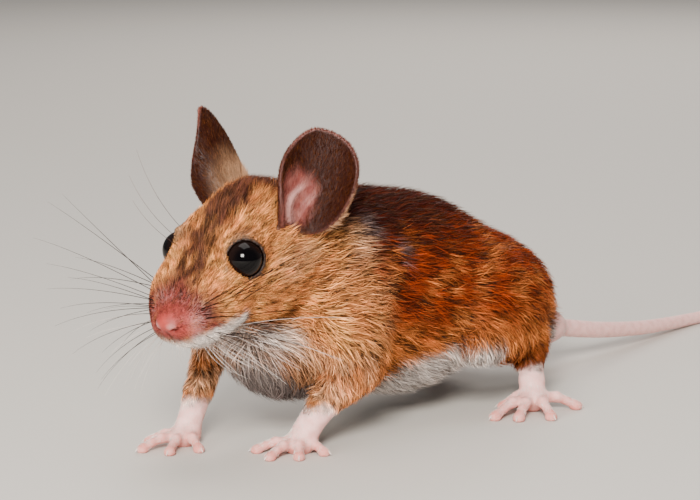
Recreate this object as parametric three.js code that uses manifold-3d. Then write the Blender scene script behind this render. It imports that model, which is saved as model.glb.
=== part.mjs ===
// A field mouse at life size, standing still on its four feet with its head turned a little to its left.
// Millimetres, +Z up. The mouse faces -Y and its left side is +X. The soles and the tail's end rest on Z = 0.
import * as THREE from "three";
import { mergeVertices } from "three/addons/utils/BufferGeometryUtils.js";
import Module from "manifold-3d";

const wasm = await Module();
wasm.setup();

// ---------------------------------------------------------------- driving dimensions
const GAP = 0.32; // clear space between neighbouring pieces
const TRUNK_BLEND = 5; // how far the trunk's masses run into each other
const LIMB_BLEND = 3; // how far one part of the flesh runs into the next
const FACE_BLEND = 2.4; // how far the face's masses run into each other
const TRUNK_CELL = 3.2; // steps of the grids that the surfaces are found on
const NECK_CELL = 3;
const LEG_CELL = 2;
const HEAD_CELL = 1.85;
const NOSE_CELL = 0.75;
const LEG_SPACE = 32; // side of the box that holds any one leg
const LEG_REACH = 9; // how far round a leg's own masses its piece of the body may extend

const HEAD_CENTRE = [2, -21.3, 27.9]; // midway between the eyes
const HEAD_TURN = 10; // degrees to the mouse's left
const HEAD_NOD = 21; // degrees down from level
const NECK_LENGTH = 8;
const EYE_RADIUS = 2.55;
const EYE_PLACE = [5.1, -0.4, 0.2]; // the left eye's centre in the head's own axes
const EAR_THICKNESS = 0.8;
const TAIL_ROOT_RADIUS = 1.45;
const TAIL_TIP_RADIUS = 0.6;
const TAIL_FLARE = 1.9; // how much thicker the tail is inside the coat of the rump
const TAIL_FLARE_LENGTH = 9;
const FORE_TOE_RADIUS = 0.72;
const HIND_TOE_RADIUS = 0.82;

const COLOURS = {
  coat: { color: 0xa4632c, roughness: 0.85, metalness: 0 },
  skin: { color: 0xe2a8a0, roughness: 0.6, metalness: 0 },
  ear: { color: 0x6b3a2c, roughness: 0.75, metalness: 0 },
  nose: { color: 0xc96a63, roughness: 0.45, metalness: 0 },
  eye: { color: 0x060608, roughness: 0.05, metalness: 0 },
};

// ---------------------------------------------------------------- frames and points
const V = (x, y, z) => new THREE.Vector3(x, y, z);
const radians = THREE.MathUtils.degToRad;
const turned = (x, y, z) => new THREE.Matrix4().makeRotationFromEuler(
  new THREE.Euler(radians(x), radians(y), radians(z), "ZXY"),
);

// The head's own frame has the mouse's axes, turned and nodded about the point between the eyes.
const headFrame = turned(HEAD_NOD, 0, HEAD_TURN).setPosition(...HEAD_CENTRE);

// ---------------------------------------------------------------- soft shapes as distance fields
// A field gives the signed distance from a point to a surface, negative inside.

/** An egg-shaped mass with the given half sizes, tilted by degrees about X. */
function lobe(centre, radii, { tilt = 0, frame = new THREE.Matrix4() } = {}) {
  const inverse = frame.clone().multiply(turned(tilt, 0, 0).setPosition(...centre)).invert();
  const q = V();
  const [rx, ry, rz] = radii;
  return (p) => {
    q.copy(p).applyMatrix4(inverse);
    const near = Math.hypot(q.x / rx, q.y / ry, q.z / rz);
    const slope = Math.hypot(q.x / rx ** 2, q.y / ry ** 2, q.z / rz ** 2);
    return slope > 0 ? (near * (near - 1)) / slope : -Math.min(rx, ry, rz);
  };
}

/** A round limb from a to b, with a radius at each end. */
function limb(a, b, ra, rb, frame = new THREE.Matrix4()) {
  const start = V(...a).applyMatrix4(frame);
  const axis = V(...b).applyMatrix4(frame).sub(start);
  const q = V();
  return (p) => {
    q.copy(p).sub(start);
    const t = THREE.MathUtils.clamp(q.dot(axis) / axis.lengthSq(), 0, 1);
    return q.addScaledVector(axis, -t).length() - THREE.MathUtils.lerp(ra, rb, t);
  };
}

/** Fields joined, with a fillet about `reach` long where they meet. */
const blend = (reach, fields) => (p) => fields.reduce((near, field) => {
  const d = field(p);
  const overlap = Math.max(reach - Math.abs(near - d), 0) / reach;
  return Math.min(near, d) - (overlap * overlap * reach) / 4;
}, 1e3);

const union = (fields) => (p) => Math.min(...fields.map((field) => field(p)));

/** The field grown outwards by a distance. */
const grown = (field, by) => (p) => field(p) - by;

// ---------------------------------------------------------------- from a field to a mesh
const SLOPE_STEP = 0.05;
const SETTLE_ROUNDS = 6;
const STEEP_ENOUGH = 0.2; // squared slope under which a step is held back

function slope(field, p) {
  const q = V();
  const along = (x, y, z) => field(q.copy(p).add(V(x, y, z))) - field(q.copy(p).sub(V(x, y, z)));
  return V(along(SLOPE_STEP, 0, 0), along(0, SLOPE_STEP, 0), along(0, 0, SLOPE_STEP))
    .divideScalar(2 * SLOPE_STEP);
}

/** Moves a point onto each of the surfaces that it is near, so that a seam's edge comes out sharp. */
function settle(p, fields, cell) {
  const near = fields.filter((field) => Math.abs(field(p)) < 0.75 * cell);
  for (let round = 0; round < SETTLE_ROUNDS; round += 1) {
    for (const field of near) {
      const s = slope(field, p);
      const step = field(p) / Math.max(s.lengthSq(), STEEP_ENOUGH);
      p.addScaledVector(s, -THREE.MathUtils.clamp(step, -cell / 2, cell / 2));
    }
  }
}

const CELL_CORNERS = [0, 1, 2, 3, 4, 5, 6, 7].map((n) => [n & 1, (n >> 1) & 1, n >> 2]);
const AXES = [[1, 0, 0], [0, 1, 0], [0, 0, 1]];

/** Calls visit(i, j, k) for each point of a grid. */
function eachPoint([nx, ny, nz], visit) {
  for (let n = 0; n < nx * ny * nz; n += 1) visit(n % nx, Math.floor(n / nx) % ny, Math.floor(n / nx / ny));
}

/** Where the edges of one cell are crossed, averaged, as parts of the cell; nothing where none is. */
function crossingOf(valueAt, [i, j, k]) {
  const crossings = [];
  for (const [ai, aj, ak] of CELL_CORNERS) {
    for (const [bi, bj, bk] of AXES) {
      if (ai + bi > 1 || aj + bj > 1 || ak + bk > 1) continue;
      const a = valueAt(i + ai, j + aj, k + ak);
      const b = valueAt(i + ai + bi, j + aj + bj, k + ak + bk);
      if (a < 0 === b < 0) continue;
      const part = a / (a - b);
      crossings.push(V(ai + bi * part, aj + bj * part, ak + bk * part));
    }
  }
  if (!crossings.length) return null;
  return crossings.reduce((sum, c) => sum.add(c), V(0, 0, 0)).divideScalar(crossings.length);
}

/** The closed mesh of where all fields are negative, within a box, with a vertex in each cell crossed. */
function polygonise(fields, box, cell) {
  const size = box.getSize(V()).divideScalar(cell).ceil().addScalar(1).toArray();
  const [nx, ny, nz] = size;
  const at = (i, j, k) => i + nx * (j + ny * k);
  const value = new Float64Array(nx * ny * nz);
  const valueAt = (i, j, k) => value[at(i, j, k)];
  eachPoint(size, (i, j, k) => {
    const p = V(i, j, k).multiplyScalar(cell).add(box.min);
    const border = Math.min(i, j, k, nx - 1 - i, ny - 1 - j, nz - 1 - k) === 0;
    value[at(i, j, k)] = Math.max(border ? cell : -Infinity, ...fields.map((field) => field(p)));
  });

  const positions = [];
  const vertexOf = new Map();
  eachPoint([nx - 1, ny - 1, nz - 1], (i, j, k) => {
    const p = crossingOf(valueAt, [i, j, k]);
    if (!p) return;
    p.add(V(i, j, k)).multiplyScalar(cell).add(box.min);
    settle(p, fields, cell);
    vertexOf.set(at(i, j, k), positions.length / 3);
    positions.push(...p);
  });

  const index = [];
  const point = (v) => V().fromArray(positions, 3 * v);
  const quad = (a, b, c, d) => {
    const short = point(a).distanceTo(point(c)) < point(b).distanceTo(point(d));
    index.push(...(short ? [a, b, c, a, c, d] : [a, b, d, b, c, d]));
  };
  eachPoint(size, (i, j, k) => {
    const here = valueAt(i, j, k) < 0;
    for (const [di, dj, dk] of AXES) {
      if (i + di >= nx || j + dj >= ny || k + dk >= nz) continue;
      if (here === valueAt(i + di, j + dj, k + dk) < 0) continue;
      const [u, v] = [[dk, di, dj], [dj, dk, di]]; // the two axes across this edge, in right-handed order
      const around = [[1, 1], [0, 1], [0, 0], [1, 0]].map(([m, n]) => vertexOf.get(
        at(i - m * u[0] - n * v[0], j - m * u[1] - n * v[1], k - m * u[2] - n * v[2]),
      ));
      quad(...(here ? around : around.reverse()));
    }
  });
  const geometry = new THREE.BufferGeometry();
  geometry.setAttribute("position", new THREE.Float32BufferAttribute(positions, 3));
  return geometry.setIndex(index);
}

// ---------------------------------------------------------------- joining and cutting closed meshes
function solidOf(geometry) {
  const bare = geometry.clone();
  bare.deleteAttribute("normal");
  bare.deleteAttribute("uv");
  const merged = mergeVertices(bare, 1e-4);
  const triangles = [];
  for (let i = 0; i < merged.index.count; i += 3) {
    const [a, b, c] = merged.index.array.slice(i, i + 3);
    if (a !== b && b !== c && c !== a) triangles.push(a, b, c);
  }
  const vertProperties = merged.attributes.position.array;
  const triVerts = new Uint32Array(triangles);
  return new wasm.Manifold(new wasm.Mesh({ numProp: 3, vertProperties, triVerts }));
}

function geometryOf(solid) {
  const { vertProperties, triVerts } = solid.getMesh();
  const geometry = new THREE.BufferGeometry();
  geometry.setAttribute("position", new THREE.BufferAttribute(vertProperties, 3));
  return geometry.setIndex(new THREE.BufferAttribute(triVerts, 1));
}

const joined = (geometries) => geometries.map(solidOf).reduce((all, solid) => all.add(solid));

/** The block of space on the far side of a plane, from which the normal points into it. */
function halfSpace(point, normal, size = 120) {
  const block = new THREE.BoxGeometry(size, size, size).translate(0, 0, size / 2);
  const facing = new THREE.Quaternion().setFromUnitVectors(V(0, 0, 1), normal.clone().normalize());
  return solidOf(block.applyQuaternion(facing).translate(...point));
}

/** The biggest of the pieces that a cut leaves. */
const biggest = (solid) => solid.decompose().reduce((a, b) => (a.volume() > b.volume() ? a : b));

const underground = halfSpace(V(0, 0, 0), V(0, 0, -1), 400);

// ---------------------------------------------------------------- tubes that follow a curve
/** A closed tube along a smooth curve through the points. */
function bentTube(points, radiusAt, rings, sides) {
  const path = new THREE.CatmullRomCurve3(points);
  const stations = Array.from({ length: rings + 1 }, (_, i) => i / rings);
  const profile = stations.map((t) => new THREE.Vector2(radiusAt(t), t));
  profile.unshift(new THREE.Vector2(0, 0));
  profile.push(new THREE.Vector2(0, 1));
  const tube = new THREE.LatheGeometry(profile, sides);
  const position = tube.attributes.position;
  for (let i = 0; i < position.count; i += 1) {
    const t = THREE.MathUtils.clamp(position.getY(i), 0, 1);
    const ahead = path.getTangent(t);
    const side = V(0, 0, 1).cross(ahead);
    if (side.length() < 0.2) side.set(1, 0, 0);
    side.normalize();
    const up = ahead.clone().cross(side);
    const p = path.getPoint(t);
    p.addScaledVector(side, position.getX(i)).addScaledVector(up, position.getZ(i));
    position.setXYZ(i, ...p);
  }
  return facingOut(tube);
}

/** The geometry with its faces pointing out, whichever way round its vertices were moved. */
function facingOut(geometry) {
  const p = geometry.attributes.position;
  const face = geometry.index.array;
  let volume = 0;
  for (let i = 0; i < face.length; i += 3) {
    const [a, b, c] = [0, 1, 2].map((n) => V().fromBufferAttribute(p, face[i + n]));
    volume += a.dot(b.cross(c));
  }
  if (volume < 0) {
    for (let i = 0; i < face.length; i += 3) [face[i + 1], face[i + 2]] = [face[i + 2], face[i + 1]];
  }
  return geometry;
}

/** A radius that swells and closes along a tube, through [t, radius] stops. */
const profileOf = (stops) => (t) => {
  const next = Math.max(1, stops.findIndex(([at]) => at >= t));
  const [[t0, r0], [t1, r1]] = [stops[next - 1], stops[next]];
  return THREE.MathUtils.lerp(r0, r1, THREE.MathUtils.smoothstep(t, t0, t1));
};

// ---------------------------------------------------------------- the flesh under the coat
const inHead = { frame: headFrame };
const headLimb = (a, b, ra, rb) => limb(a, b, ra, rb, headFrame);
const mirrorPair = (make) => [make(1), make(-1)];

const faceMasses = [
  lobe([0, 7, -2.2], [8.2, 10, 7.4], inHead), // cranium
  lobe([0, 8, -0.6], [5.4, 7.4, 7.2], inHead), // crown between the ears
  headLimb([0, 1, -3.2], [0, -8.8, -4.8], 5.9, 3), // bridge of the muzzle
  headLimb([0, 3, -8.2], [0, -6.6, -8], 3.4, 1.5), // lower jaw
  ...mirrorPair((side) => lobe([side * 2.4, -7.2, -5.2], [2.6, 3.8, 2.9], inHead)), // whisker pads
  ...mirrorPair((side) => lobe([side * 4.1, -4.4, -4.3], [3, 4.4, 3.2], inHead)), // sides of the muzzle
  ...mirrorPair((side) => lobe([side * 3.7, -3.6, -1.9], [2.5, 4.2, 3], inHead)), // before the eyes
  ...mirrorPair((side) => lobe([side * 5, 4, -6.2], [3.6, 6.6, 4.3], inHead)), // cheeks
  ...mirrorPair((side) => lobe([side * 4.4, 1.8, 0.4], [2.6, 4.8, 3.3], inHead)), // brows
];

const flesh = {
  head: blend(FACE_BLEND, faceMasses),
  neck: limb([-0.2, -9.5, 26.5], [0, -1, 22], 9.3, 11.4),
  trunk: blend(TRUNK_BLEND, [
    lobe([-0.5, -5.5, 14.5], [9, 11.5, 9.2]), // breast
    lobe([0, 3, 20], [11, 14, 14]), // ribs
    lobe([0, 13.5, 17.6], [12.4, 16.5, 14.8], { tilt: -4 }), // belly
    lobe([0, 27.6, 15.8], [11.9, 16.4, 9.9], { tilt: -16 }), // rump
    limb([0, 36, 10.5], [0, 42.2, 8.5], 5, 3.6), // root of the tail
  ]),
  foreleg_left: blend(LIMB_BLEND, [
    lobe([8, -3, 17.5], [4.6, 6.4, 7.4]),
    limb([8, -3.5, 15], [8.3, -1.8, 11], 4.2, 3.4),
  ]),
  foreleg_right: blend(LIMB_BLEND, [
    lobe([-8, -5, 18], [4.6, 6.4, 7.4]),
    limb([-8, -7, 17], [-8.4, -12.6, 14.2], 4.2, 3),
  ]),
  hindleg_left: blend(LIMB_BLEND, [
    lobe([8.7, 24.6, 15.2], [5.5, 9.6, 7.9], { tilt: -12 }),
    limb([11, 19.5, 11.3], [8.8, 32.4, 9], 3.8, 2.4),
  ]),
  hindleg_right: blend(LIMB_BLEND, [
    lobe([-8.7, 26, 15.2], [5.5, 9.6, 7.9], { tilt: -12 }),
    limb([-11, 22, 11.3], [-9.8, 37.2, 8.4], 3.8, 2.4),
  ]),
};
// The free ends of the legs, down to the ankles.
const shanks = {
  foreleg_left: limb([8.3, -1.8, 11], [6.1, -7.9, 4.4], 3.3, 1.8),
  foreleg_right: limb([-8.4, -12.6, 14.2], [-8.5, -16.4, 4.2], 2.8, 1.7),
  hindleg_left: limb([8.8, 32.4, 9], [10.6, 30.6, 6.2], 2.2, 1.8),
  hindleg_right: limb([-9.8, 37.2, 8.4], [-11, 35.8, 5.8], 2.2, 1.8),
};
const torso = blend(LIMB_BLEND, Object.values(flesh));
const wholeBody = blend(LIMB_BLEND, [torso, ...Object.values(shanks)]);

// ---------------------------------------------------------------- nose and eyes
const eyeCentre = (side) => V(...EYE_PLACE).multiply(V(side, 1, 1)).applyMatrix4(headFrame);
const noseField = blend(0.8, [
  lobe([0, -11.1, -3.3], [1.4, 1.4, 1.15], inHead),
  ...mirrorPair((side) => lobe([side * 0.9, -11, -3.65], [0.8, 1.2, 0.85], inHead)), // nostril wings
]);

// Head, neck and trunk part at two parallel planes, and each leg comes out of the body in an egg-shaped seam.
const nape = V(0, -5.8, 37);
const napeNormal = V(0, 0.86, -0.5).normalize();
const behindNape = (p) => napeNormal.dot(p.clone().sub(nape));
const aheadOf = (plane) => (p) => behindNape(p) - plane + GAP / 2;
const behind = (plane) => (p) => plane - behindNape(p) + GAP / 2;

const BODY_PARTS = {
  head: { box: [[-12, -40, 8], [16, 2, 44]], cell: HEAD_CELL, within: [aheadOf(0)] },
  neck: { box: [[-16, -26, 0], [16, 16, 44]], cell: NECK_CELL, within: [behind(0), aheadOf(NECK_LENGTH)] },
  trunk: { box: [[-19, -22.5, -2], [19, 54, 40]], cell: TRUNK_CELL, within: [behind(NECK_LENGTH)] },
};
const LEGS = {
  foreleg_left: { centre: [12, -4.2, 13.4], radii: [9, 7.2, 12.6], tilt: -17 },
  foreleg_right: { centre: [-12, -9.6, 12.6], radii: [9, 7, 13.2], tilt: -35 },
  hindleg_left: { centre: [13.5, 26, 13.4], radii: [9.6, 11.2, 9], tilt: 0 },
  hindleg_right: { centre: [-13.5, 29.4, 12.8], radii: [9.6, 11.4, 9], tilt: 0 },
};

/** The egg that a leg comes out of the body in, grown by a margin. */
function legSeam(name, margin) {
  const { centre, radii, tilt } = LEGS[name];
  const egg = new THREE.SphereGeometry(1, 10, 7).scale(...radii.map((radius) => radius + margin));
  return solidOf(egg.applyMatrix4(turned(tilt, 0, 0).setPosition(...centre)));
}

/** A part of the body, without what belongs to the legs. */
function bodySolid(name) {
  const { box: [low, high], cell, within } = BODY_PARTS[name];
  const whole = solidOf(polygonise([torso, ...within], new THREE.Box3(V(...low), V(...high)), cell));
  return biggest(Object.keys(LEGS).reduce((part, leg) => part.subtract(legSeam(leg, GAP / 2)), whole));
}

/** A leg down to the cut across its ankle. */
function legSolid(name) {
  const { centre } = LEGS[name];
  const box = new THREE.Box3().setFromCenterAndSize(V(...centre), V(LEG_SPACE, LEG_SPACE, LEG_SPACE));
  const near = grown(union([flesh[name], shanks[name]]), LEG_REACH);
  const whole = solidOf(polygonise([wholeBody, near], box, LEG_CELL));
  const { ankle } = Object.values(FEET).find((foot) => foot.leg === name);
  const down = V(...ankle.down).normalize();
  const cut = halfSpace(V(...ankle.at).addScaledVector(down, -GAP / 2), down);
  return biggest(whole.intersect(legSeam(name, -GAP / 2)).subtract(cut));
}

const NOSE_CENTRE = [0, -11.1, -3.45];
const NOSE_RADII = [1.85, 1.5, 1.4];

/** The nose pad with its two nostril wings. */
function noseSolid() {
  const box = new THREE.Box3().setFromCenterAndSize(V(...NOSE_CENTRE).applyMatrix4(headFrame), V(8, 8, 8));
  return solidOf(polygonise([noseField], box, NOSE_CELL));
}

/** The hollow in the muzzle that the nose pad sits in. */
function noseHollow() {
  const hollow = new THREE.SphereGeometry(1, 10, 6).scale(...NOSE_RADII.map((radius) => radius + GAP));
  return solidOf(hollow.translate(...NOSE_CENTRE).applyMatrix4(headFrame));
}

/** An eyeball, or with a margin its socket. */
function eyeSolid(side, margin = 0) {
  return solidOf(new THREE.SphereGeometry(EYE_RADIUS + margin, 12, 8).translate(...eyeCentre(side)));
}

function headSolid() {
  return mirrorPair((side) => eyeSolid(side, GAP))
    .reduce((head, socket) => head.subtract(socket), bodySolid("head"))
    .subtract(noseHollow());
}

// ---------------------------------------------------------------- ears
// An ear is a thin cupped leaf that grows from the back of the head, folded into a funnel at its root.
const EARS = {
  ear_left: {
    side: 1,
    size: [12.6, 13.9],
    root: [7.5, 9.1, -1.2],
    facing: 33, // degrees that it opens to the side
    lean: [26.6, 7], // degrees back and out
    cups: [5.2, 9.4], // bending radii of its inner and outer halves
    heel: 0.41, // how much the inner edge widens to the root
    flare: 0.18, // how much the outer edge widens to the tip
    taper: 0, // share of its breadth that it loses at the tip
  },
  ear_right: {
    side: -1,
    size: [10.9, 15.2],
    root: [4.9, 13, -1.4],
    facing: 82,
    lean: [15.2, 27.2],
    cups: [4.3, 15.6],
    heel: 0.47,
    flare: -0.04,
    taper: 0.38,
  },
};
const EAR_TAPER_FROM = -0.2; // height on the leaf, from -1 to 1, at which it starts to taper

/** One ear, clear of the head's surface by the gap. */
function earSolid({ side, size, root, facing, lean, cups, heel, flare, taper }) {
  const [breadth, length] = size;
  const [back, out] = lean;
  const [leanOut, leanBack] = [Math.sin(radians(out)), Math.sin(radians(back))];
  const along = V(leanOut, leanBack, Math.sqrt(1 - leanOut ** 2 - leanBack ** 2));
  const opening = V(Math.sin(radians(facing)), -Math.cos(radians(facing)), 0);
  opening.projectOnPlane(along).normalize();
  const across = along.clone().cross(opening);
  const leaf = new THREE.SphereGeometry(1, 16, 10);
  const position = leaf.attributes.position;
  for (let i = 0; i < position.count; i += 1) {
    const [x, y, z] = V().fromBufferAttribute(position, i);
    const height = (y + 1) / 2;
    const [cup, spread] = x < 0 ? [cups[0], 1 - heel * y] : [cups[1], 1 + flare * y];
    const narrowing = 1 - (taper * Math.max(0, y - EAR_TAPER_FROM)) / (1 - EAR_TAPER_FROM);
    const radius = cup * (0.55 + 0.45 * height);
    const angle = (x * spread * narrowing * breadth) / 2 / radius;
    const bend = radius - (z * EAR_THICKNESS) / 2;
    const p = V(...root).addScaledVector(along, height * length);
    p.addScaledVector(across, bend * Math.sin(angle));
    p.addScaledVector(opening, radius - bend * Math.cos(angle));
    p.x *= side;
    position.setXYZ(i, ...p.applyMatrix4(headFrame));
  }
  const box = new THREE.Box3().setFromBufferAttribute(position).expandByScalar(2 * HEAD_CELL);
  const clearance = solidOf(polygonise([grown(wholeBody, GAP)], box, HEAD_CELL));
  return biggest(solidOf(facingOut(leaf)).subtract(clearance));
}

// ---------------------------------------------------------------- feet
// Each foot has an ankle on its leg's axis, a pad, and toes given by their tips on the floor.
const FEET = {
  forefoot_left: {
    leg: "foreleg_left",
    ankle: { at: [6.3, -7.4, 5], down: [-0.35, -0.65, -1], radius: 1.8 },
    pad: { at: [5.5, -9.9, 1.2], radii: [2.3, 2.4, 1.4] },
    tips: [[1.9, -14.3], [5.8, -15.4], [8.4, -12.6], [9.1, -8.7]],
    toeRadius: FORE_TOE_RADIUS,
  },
  forefoot_right: {
    leg: "foreleg_right",
    ankle: { at: [-8.5, -16.2, 4.8], down: [0, -0.2, -1], radius: 1.7 },
    pad: { at: [-7.9, -18.6, 1.2], radii: [2.2, 2.4, 1.4] },
    tips: [[-11.3, -21.8], [-8.9, -25], [-5.3, -23.3], [-3.6, -19.6]],
    toeRadius: FORE_TOE_RADIUS,
  },
  hindfoot_left: {
    leg: "hindleg_left",
    ankle: { at: [10.2, 31, 7], down: [0.55, -0.45, -0.8], radius: 1.85 },
    pad: { at: [13.2, 28.2, 1.9], radii: [2.3, 2.5, 1.5] },
    tips: [[9.8, 25.8], [12.9, 20.6], [15.6, 22.6], [18.3, 26.4], [16.9, 33.4]],
    toeRadius: HIND_TOE_RADIUS,
  },
  hindfoot_right: {
    leg: "hindleg_right",
    ankle: { at: [-10.9, 36, 6.6], down: [-0.35, -0.5, -0.8], radius: 1.85 },
    pad: { at: [-13.5, 32.4, 1.7], radii: [2.3, 2.5, 1.5] },
    tips: [[-10.2, 29.9], [-12.6, 25.2], [-15.5, 25.6], [-18.3, 29.3], [-18, 35.5]],
    toeRadius: HIND_TOE_RADIUS,
  },
};

const TOE_HEIGHT = 0.65; // of a toe tip's middle over the floor, in toe radii

/** A toe from the pad, over its knuckle and down to a tip pad on the floor, with its claw. */
function toeParts(pad, [x, y], radius) {
  const tip = V(x, y, TOE_HEIGHT * radius);
  const start = V(...pad).lerp(V(x, y, pad[2]), 0.12);
  const knuckle = start.clone().lerp(tip, 0.48).add(V(0, 0, 0.85 * radius));
  const outward = tip.clone().sub(start).setZ(0).normalize();
  const end = tip.clone().addScaledVector(outward, 0.5 * radius);
  const thickness = profileOf([[0, 1.15], [0.33, 1.05], [0.5, 0.88], [0.75, 1], [1, 0.5]]);
  const toe = bentTube([start, knuckle, tip, end], (t) => radius * thickness(t), 4, 5);
  const claw = [tip.clone().add(V(0, 0, 0.35 * radius)), end.clone().add(V(0, 0, 0.25 * radius))];
  claw.push(end.clone().addScaledVector(outward, radius).setZ(0.25 * radius));
  return [toe, bentTube(claw, (t) => radius * THREE.MathUtils.lerp(0.42, 0.1, t), 1, 4)];
}

function footSolid({ ankle, pad, tips, toeRadius }) {
  const top = V(...ankle.at);
  const down = V(...ankle.down).normalize();
  const instep = top.clone().lerp(V(...pad.at), 0.55).addScaledVector(down, 0.3);
  const shank = [top.clone().addScaledVector(down, -1), instep, V(...pad.at).setZ(0.8 * pad.at[2])];
  const sole = new THREE.SphereGeometry(1, 8, 5).scale(...pad.radii).translate(...pad.at);
  const parts = [sole, bentTube(shank, () => ankle.radius, 3, 8)];
  for (const tip of tips) parts.push(...toeParts(pad.at, tip, toeRadius));
  return joined(parts)
    .subtract(underground)
    .subtract(halfSpace(top.clone().addScaledVector(down, GAP / 2), down.clone().negate()));
}

// ---------------------------------------------------------------- tail
const TAIL_ROUTE = [
  [0, 43.2, 8.2], [-0.2, 47.5, 7.1], [-0.5, 53, 5.8], [-1.2, 61, 4.2], [-2.6, 72, 2.5], [-4, 82, 1.5],
  [-4.9, 91, 0.95], [-5, 101, 0.82], [-3, 110, 0.72], [2, 117.5, 0.62], [9, 120.5, 0.52],
].map((point) => V(...point));
const TAIL_LENGTHS = { tail_base: [0, 0.34], tail_middle: [0.34, 0.67], tail_tip: [0.67, 1] };
const TAIL_RINGS = 9;
const tailPath = new THREE.CatmullRomCurve3(TAIL_ROUTE);

/** How thick the tail is at a part of its length, from root to tip. */
function tailRadius(part) {
  const fromRoot = part * tailPath.getLength();
  const flare = TAIL_FLARE * (1 - THREE.MathUtils.smoothstep(fromRoot, 0, TAIL_FLARE_LENGTH));
  const closing = Math.sqrt(1 - 0.75 * THREE.MathUtils.smoothstep(part, 0.97, 1));
  return THREE.MathUtils.lerp(TAIL_ROOT_RADIUS, TAIL_TIP_RADIUS, part) * closing + flare;
}

/** A length of the tail, a little short at both ends, or with a margin the hollow that it sits in. */
function tailSolid([from, to], margin = 0) {
  const clear = (GAP / 2 - margin) / tailPath.getLength();
  const partAt = (t) => THREE.MathUtils.clamp(THREE.MathUtils.lerp(from + clear, to - clear, t), 0, 1);
  const stations = Array.from({ length: TAIL_RINGS + 1 }, (_, i) => i / TAIL_RINGS);
  const points = stations.map((t) => tailPath.getPointAt(partAt(t)));
  const tube = bentTube(points, (t) => tailRadius(partAt(t)) + margin, TAIL_RINGS, 8);
  return solidOf(tube).subtract(underground);
}

function trunkSolid() {
  return bodySolid("trunk").subtract(tailSolid(TAIL_LENGTHS.tail_base, GAP));
}

// ---------------------------------------------------------------- the whole mouse
const mouse = new THREE.Group();

function piece(name, solid, colour) {
  const mesh = new THREE.Mesh(geometryOf(solid), new THREE.MeshStandardMaterial(COLOURS[colour]));
  mesh.name = name;
  mouse.add(mesh);
}

piece("head", headSolid(), "coat");
piece("nose", noseSolid(), "nose");
piece("eye_left", eyeSolid(1), "eye");
piece("eye_right", eyeSolid(-1), "eye");
for (const [name, ear] of Object.entries(EARS)) piece(name, earSolid(ear), "ear");
piece("neck", bodySolid("neck"), "coat");
piece("trunk", trunkSolid(), "coat");
for (const [name, foot] of Object.entries(FEET)) {
  piece(foot.leg, legSolid(foot.leg), "coat");
  piece(name, footSolid(foot), "skin");
}
for (const [name, span] of Object.entries(TAIL_LENGTHS)) piece(name, tailSolid(span), "skin");

const model = new THREE.Group();
const extent = new THREE.Box3().setFromObject(mouse);
const centre = extent.getCenter(V());
mouse.position.set(-centre.x, -centre.y, -extent.min.z);
model.add(mouse);

export default model;
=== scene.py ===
"""Looks of a life-size field mouse on its four feet: one skin, its coat, eyes, claws and whiskers.

Measures are in millimetres in the mouse's own space (-Y the way it faces, +X its left, the floor at Z = 0),
and turn into metres of the frame only when a mesh is made.
"""

import logging
import math
from collections.abc import Callable, Sequence
from dataclasses import dataclass, field
from enum import Enum

import bpy
import numpy as np
from mathutils import Matrix, Vector


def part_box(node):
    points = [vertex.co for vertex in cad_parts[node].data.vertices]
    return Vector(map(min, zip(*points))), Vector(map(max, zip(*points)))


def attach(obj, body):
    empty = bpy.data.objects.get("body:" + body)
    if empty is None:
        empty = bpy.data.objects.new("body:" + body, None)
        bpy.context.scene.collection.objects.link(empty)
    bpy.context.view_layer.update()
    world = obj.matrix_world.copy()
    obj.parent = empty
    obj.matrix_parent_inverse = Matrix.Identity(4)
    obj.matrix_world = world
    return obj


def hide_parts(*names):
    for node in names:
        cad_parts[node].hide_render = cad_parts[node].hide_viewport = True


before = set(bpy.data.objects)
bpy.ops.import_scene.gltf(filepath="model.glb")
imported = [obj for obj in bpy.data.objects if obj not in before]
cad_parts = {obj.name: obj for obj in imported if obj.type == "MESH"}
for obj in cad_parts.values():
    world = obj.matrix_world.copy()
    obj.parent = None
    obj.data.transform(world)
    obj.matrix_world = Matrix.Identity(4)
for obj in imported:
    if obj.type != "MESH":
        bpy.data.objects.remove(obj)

logging.basicConfig(level=logging.INFO, format="%(message)s")
log = logging.getLogger("mouse")

Array = np.ndarray
Triple = tuple[float, float, float]
Field = Callable[[Array], Array]

MM = 0.001
BODY = "root"
TINT_LAYER = "tint"
ALONG_LAYER = "along"
THICK_LAYER = "thick"
SIDES = (1.0, -1.0)


# -------- numbers and frames
def smoothstep(low: float, high: float, x: Array) -> Array:
    """Rises from 0 at `low` to 1 at `high` with level ends."""
    t = np.clip((x - low) / (high - low), 0.0, 1.0)
    return t * t * (3.0 - 2.0 * t)


def unit(v: Array) -> Array:
    """The vectors at length one, along the last axis."""
    return v / np.maximum(np.linalg.norm(v, axis=-1, keepdims=True), 1e-9)


def mix(a: Array, b: Array, share: Array) -> Array:
    """Blends rows of `a` into `b` by a share for each row."""
    share = np.asarray(share)[..., None]
    return a * (1.0 - share) + b * share


def split(p: Array) -> tuple[Array, Array, Array]:
    """The three coordinates of points."""
    return p[..., 0], p[..., 1], p[..., 2]


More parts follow.
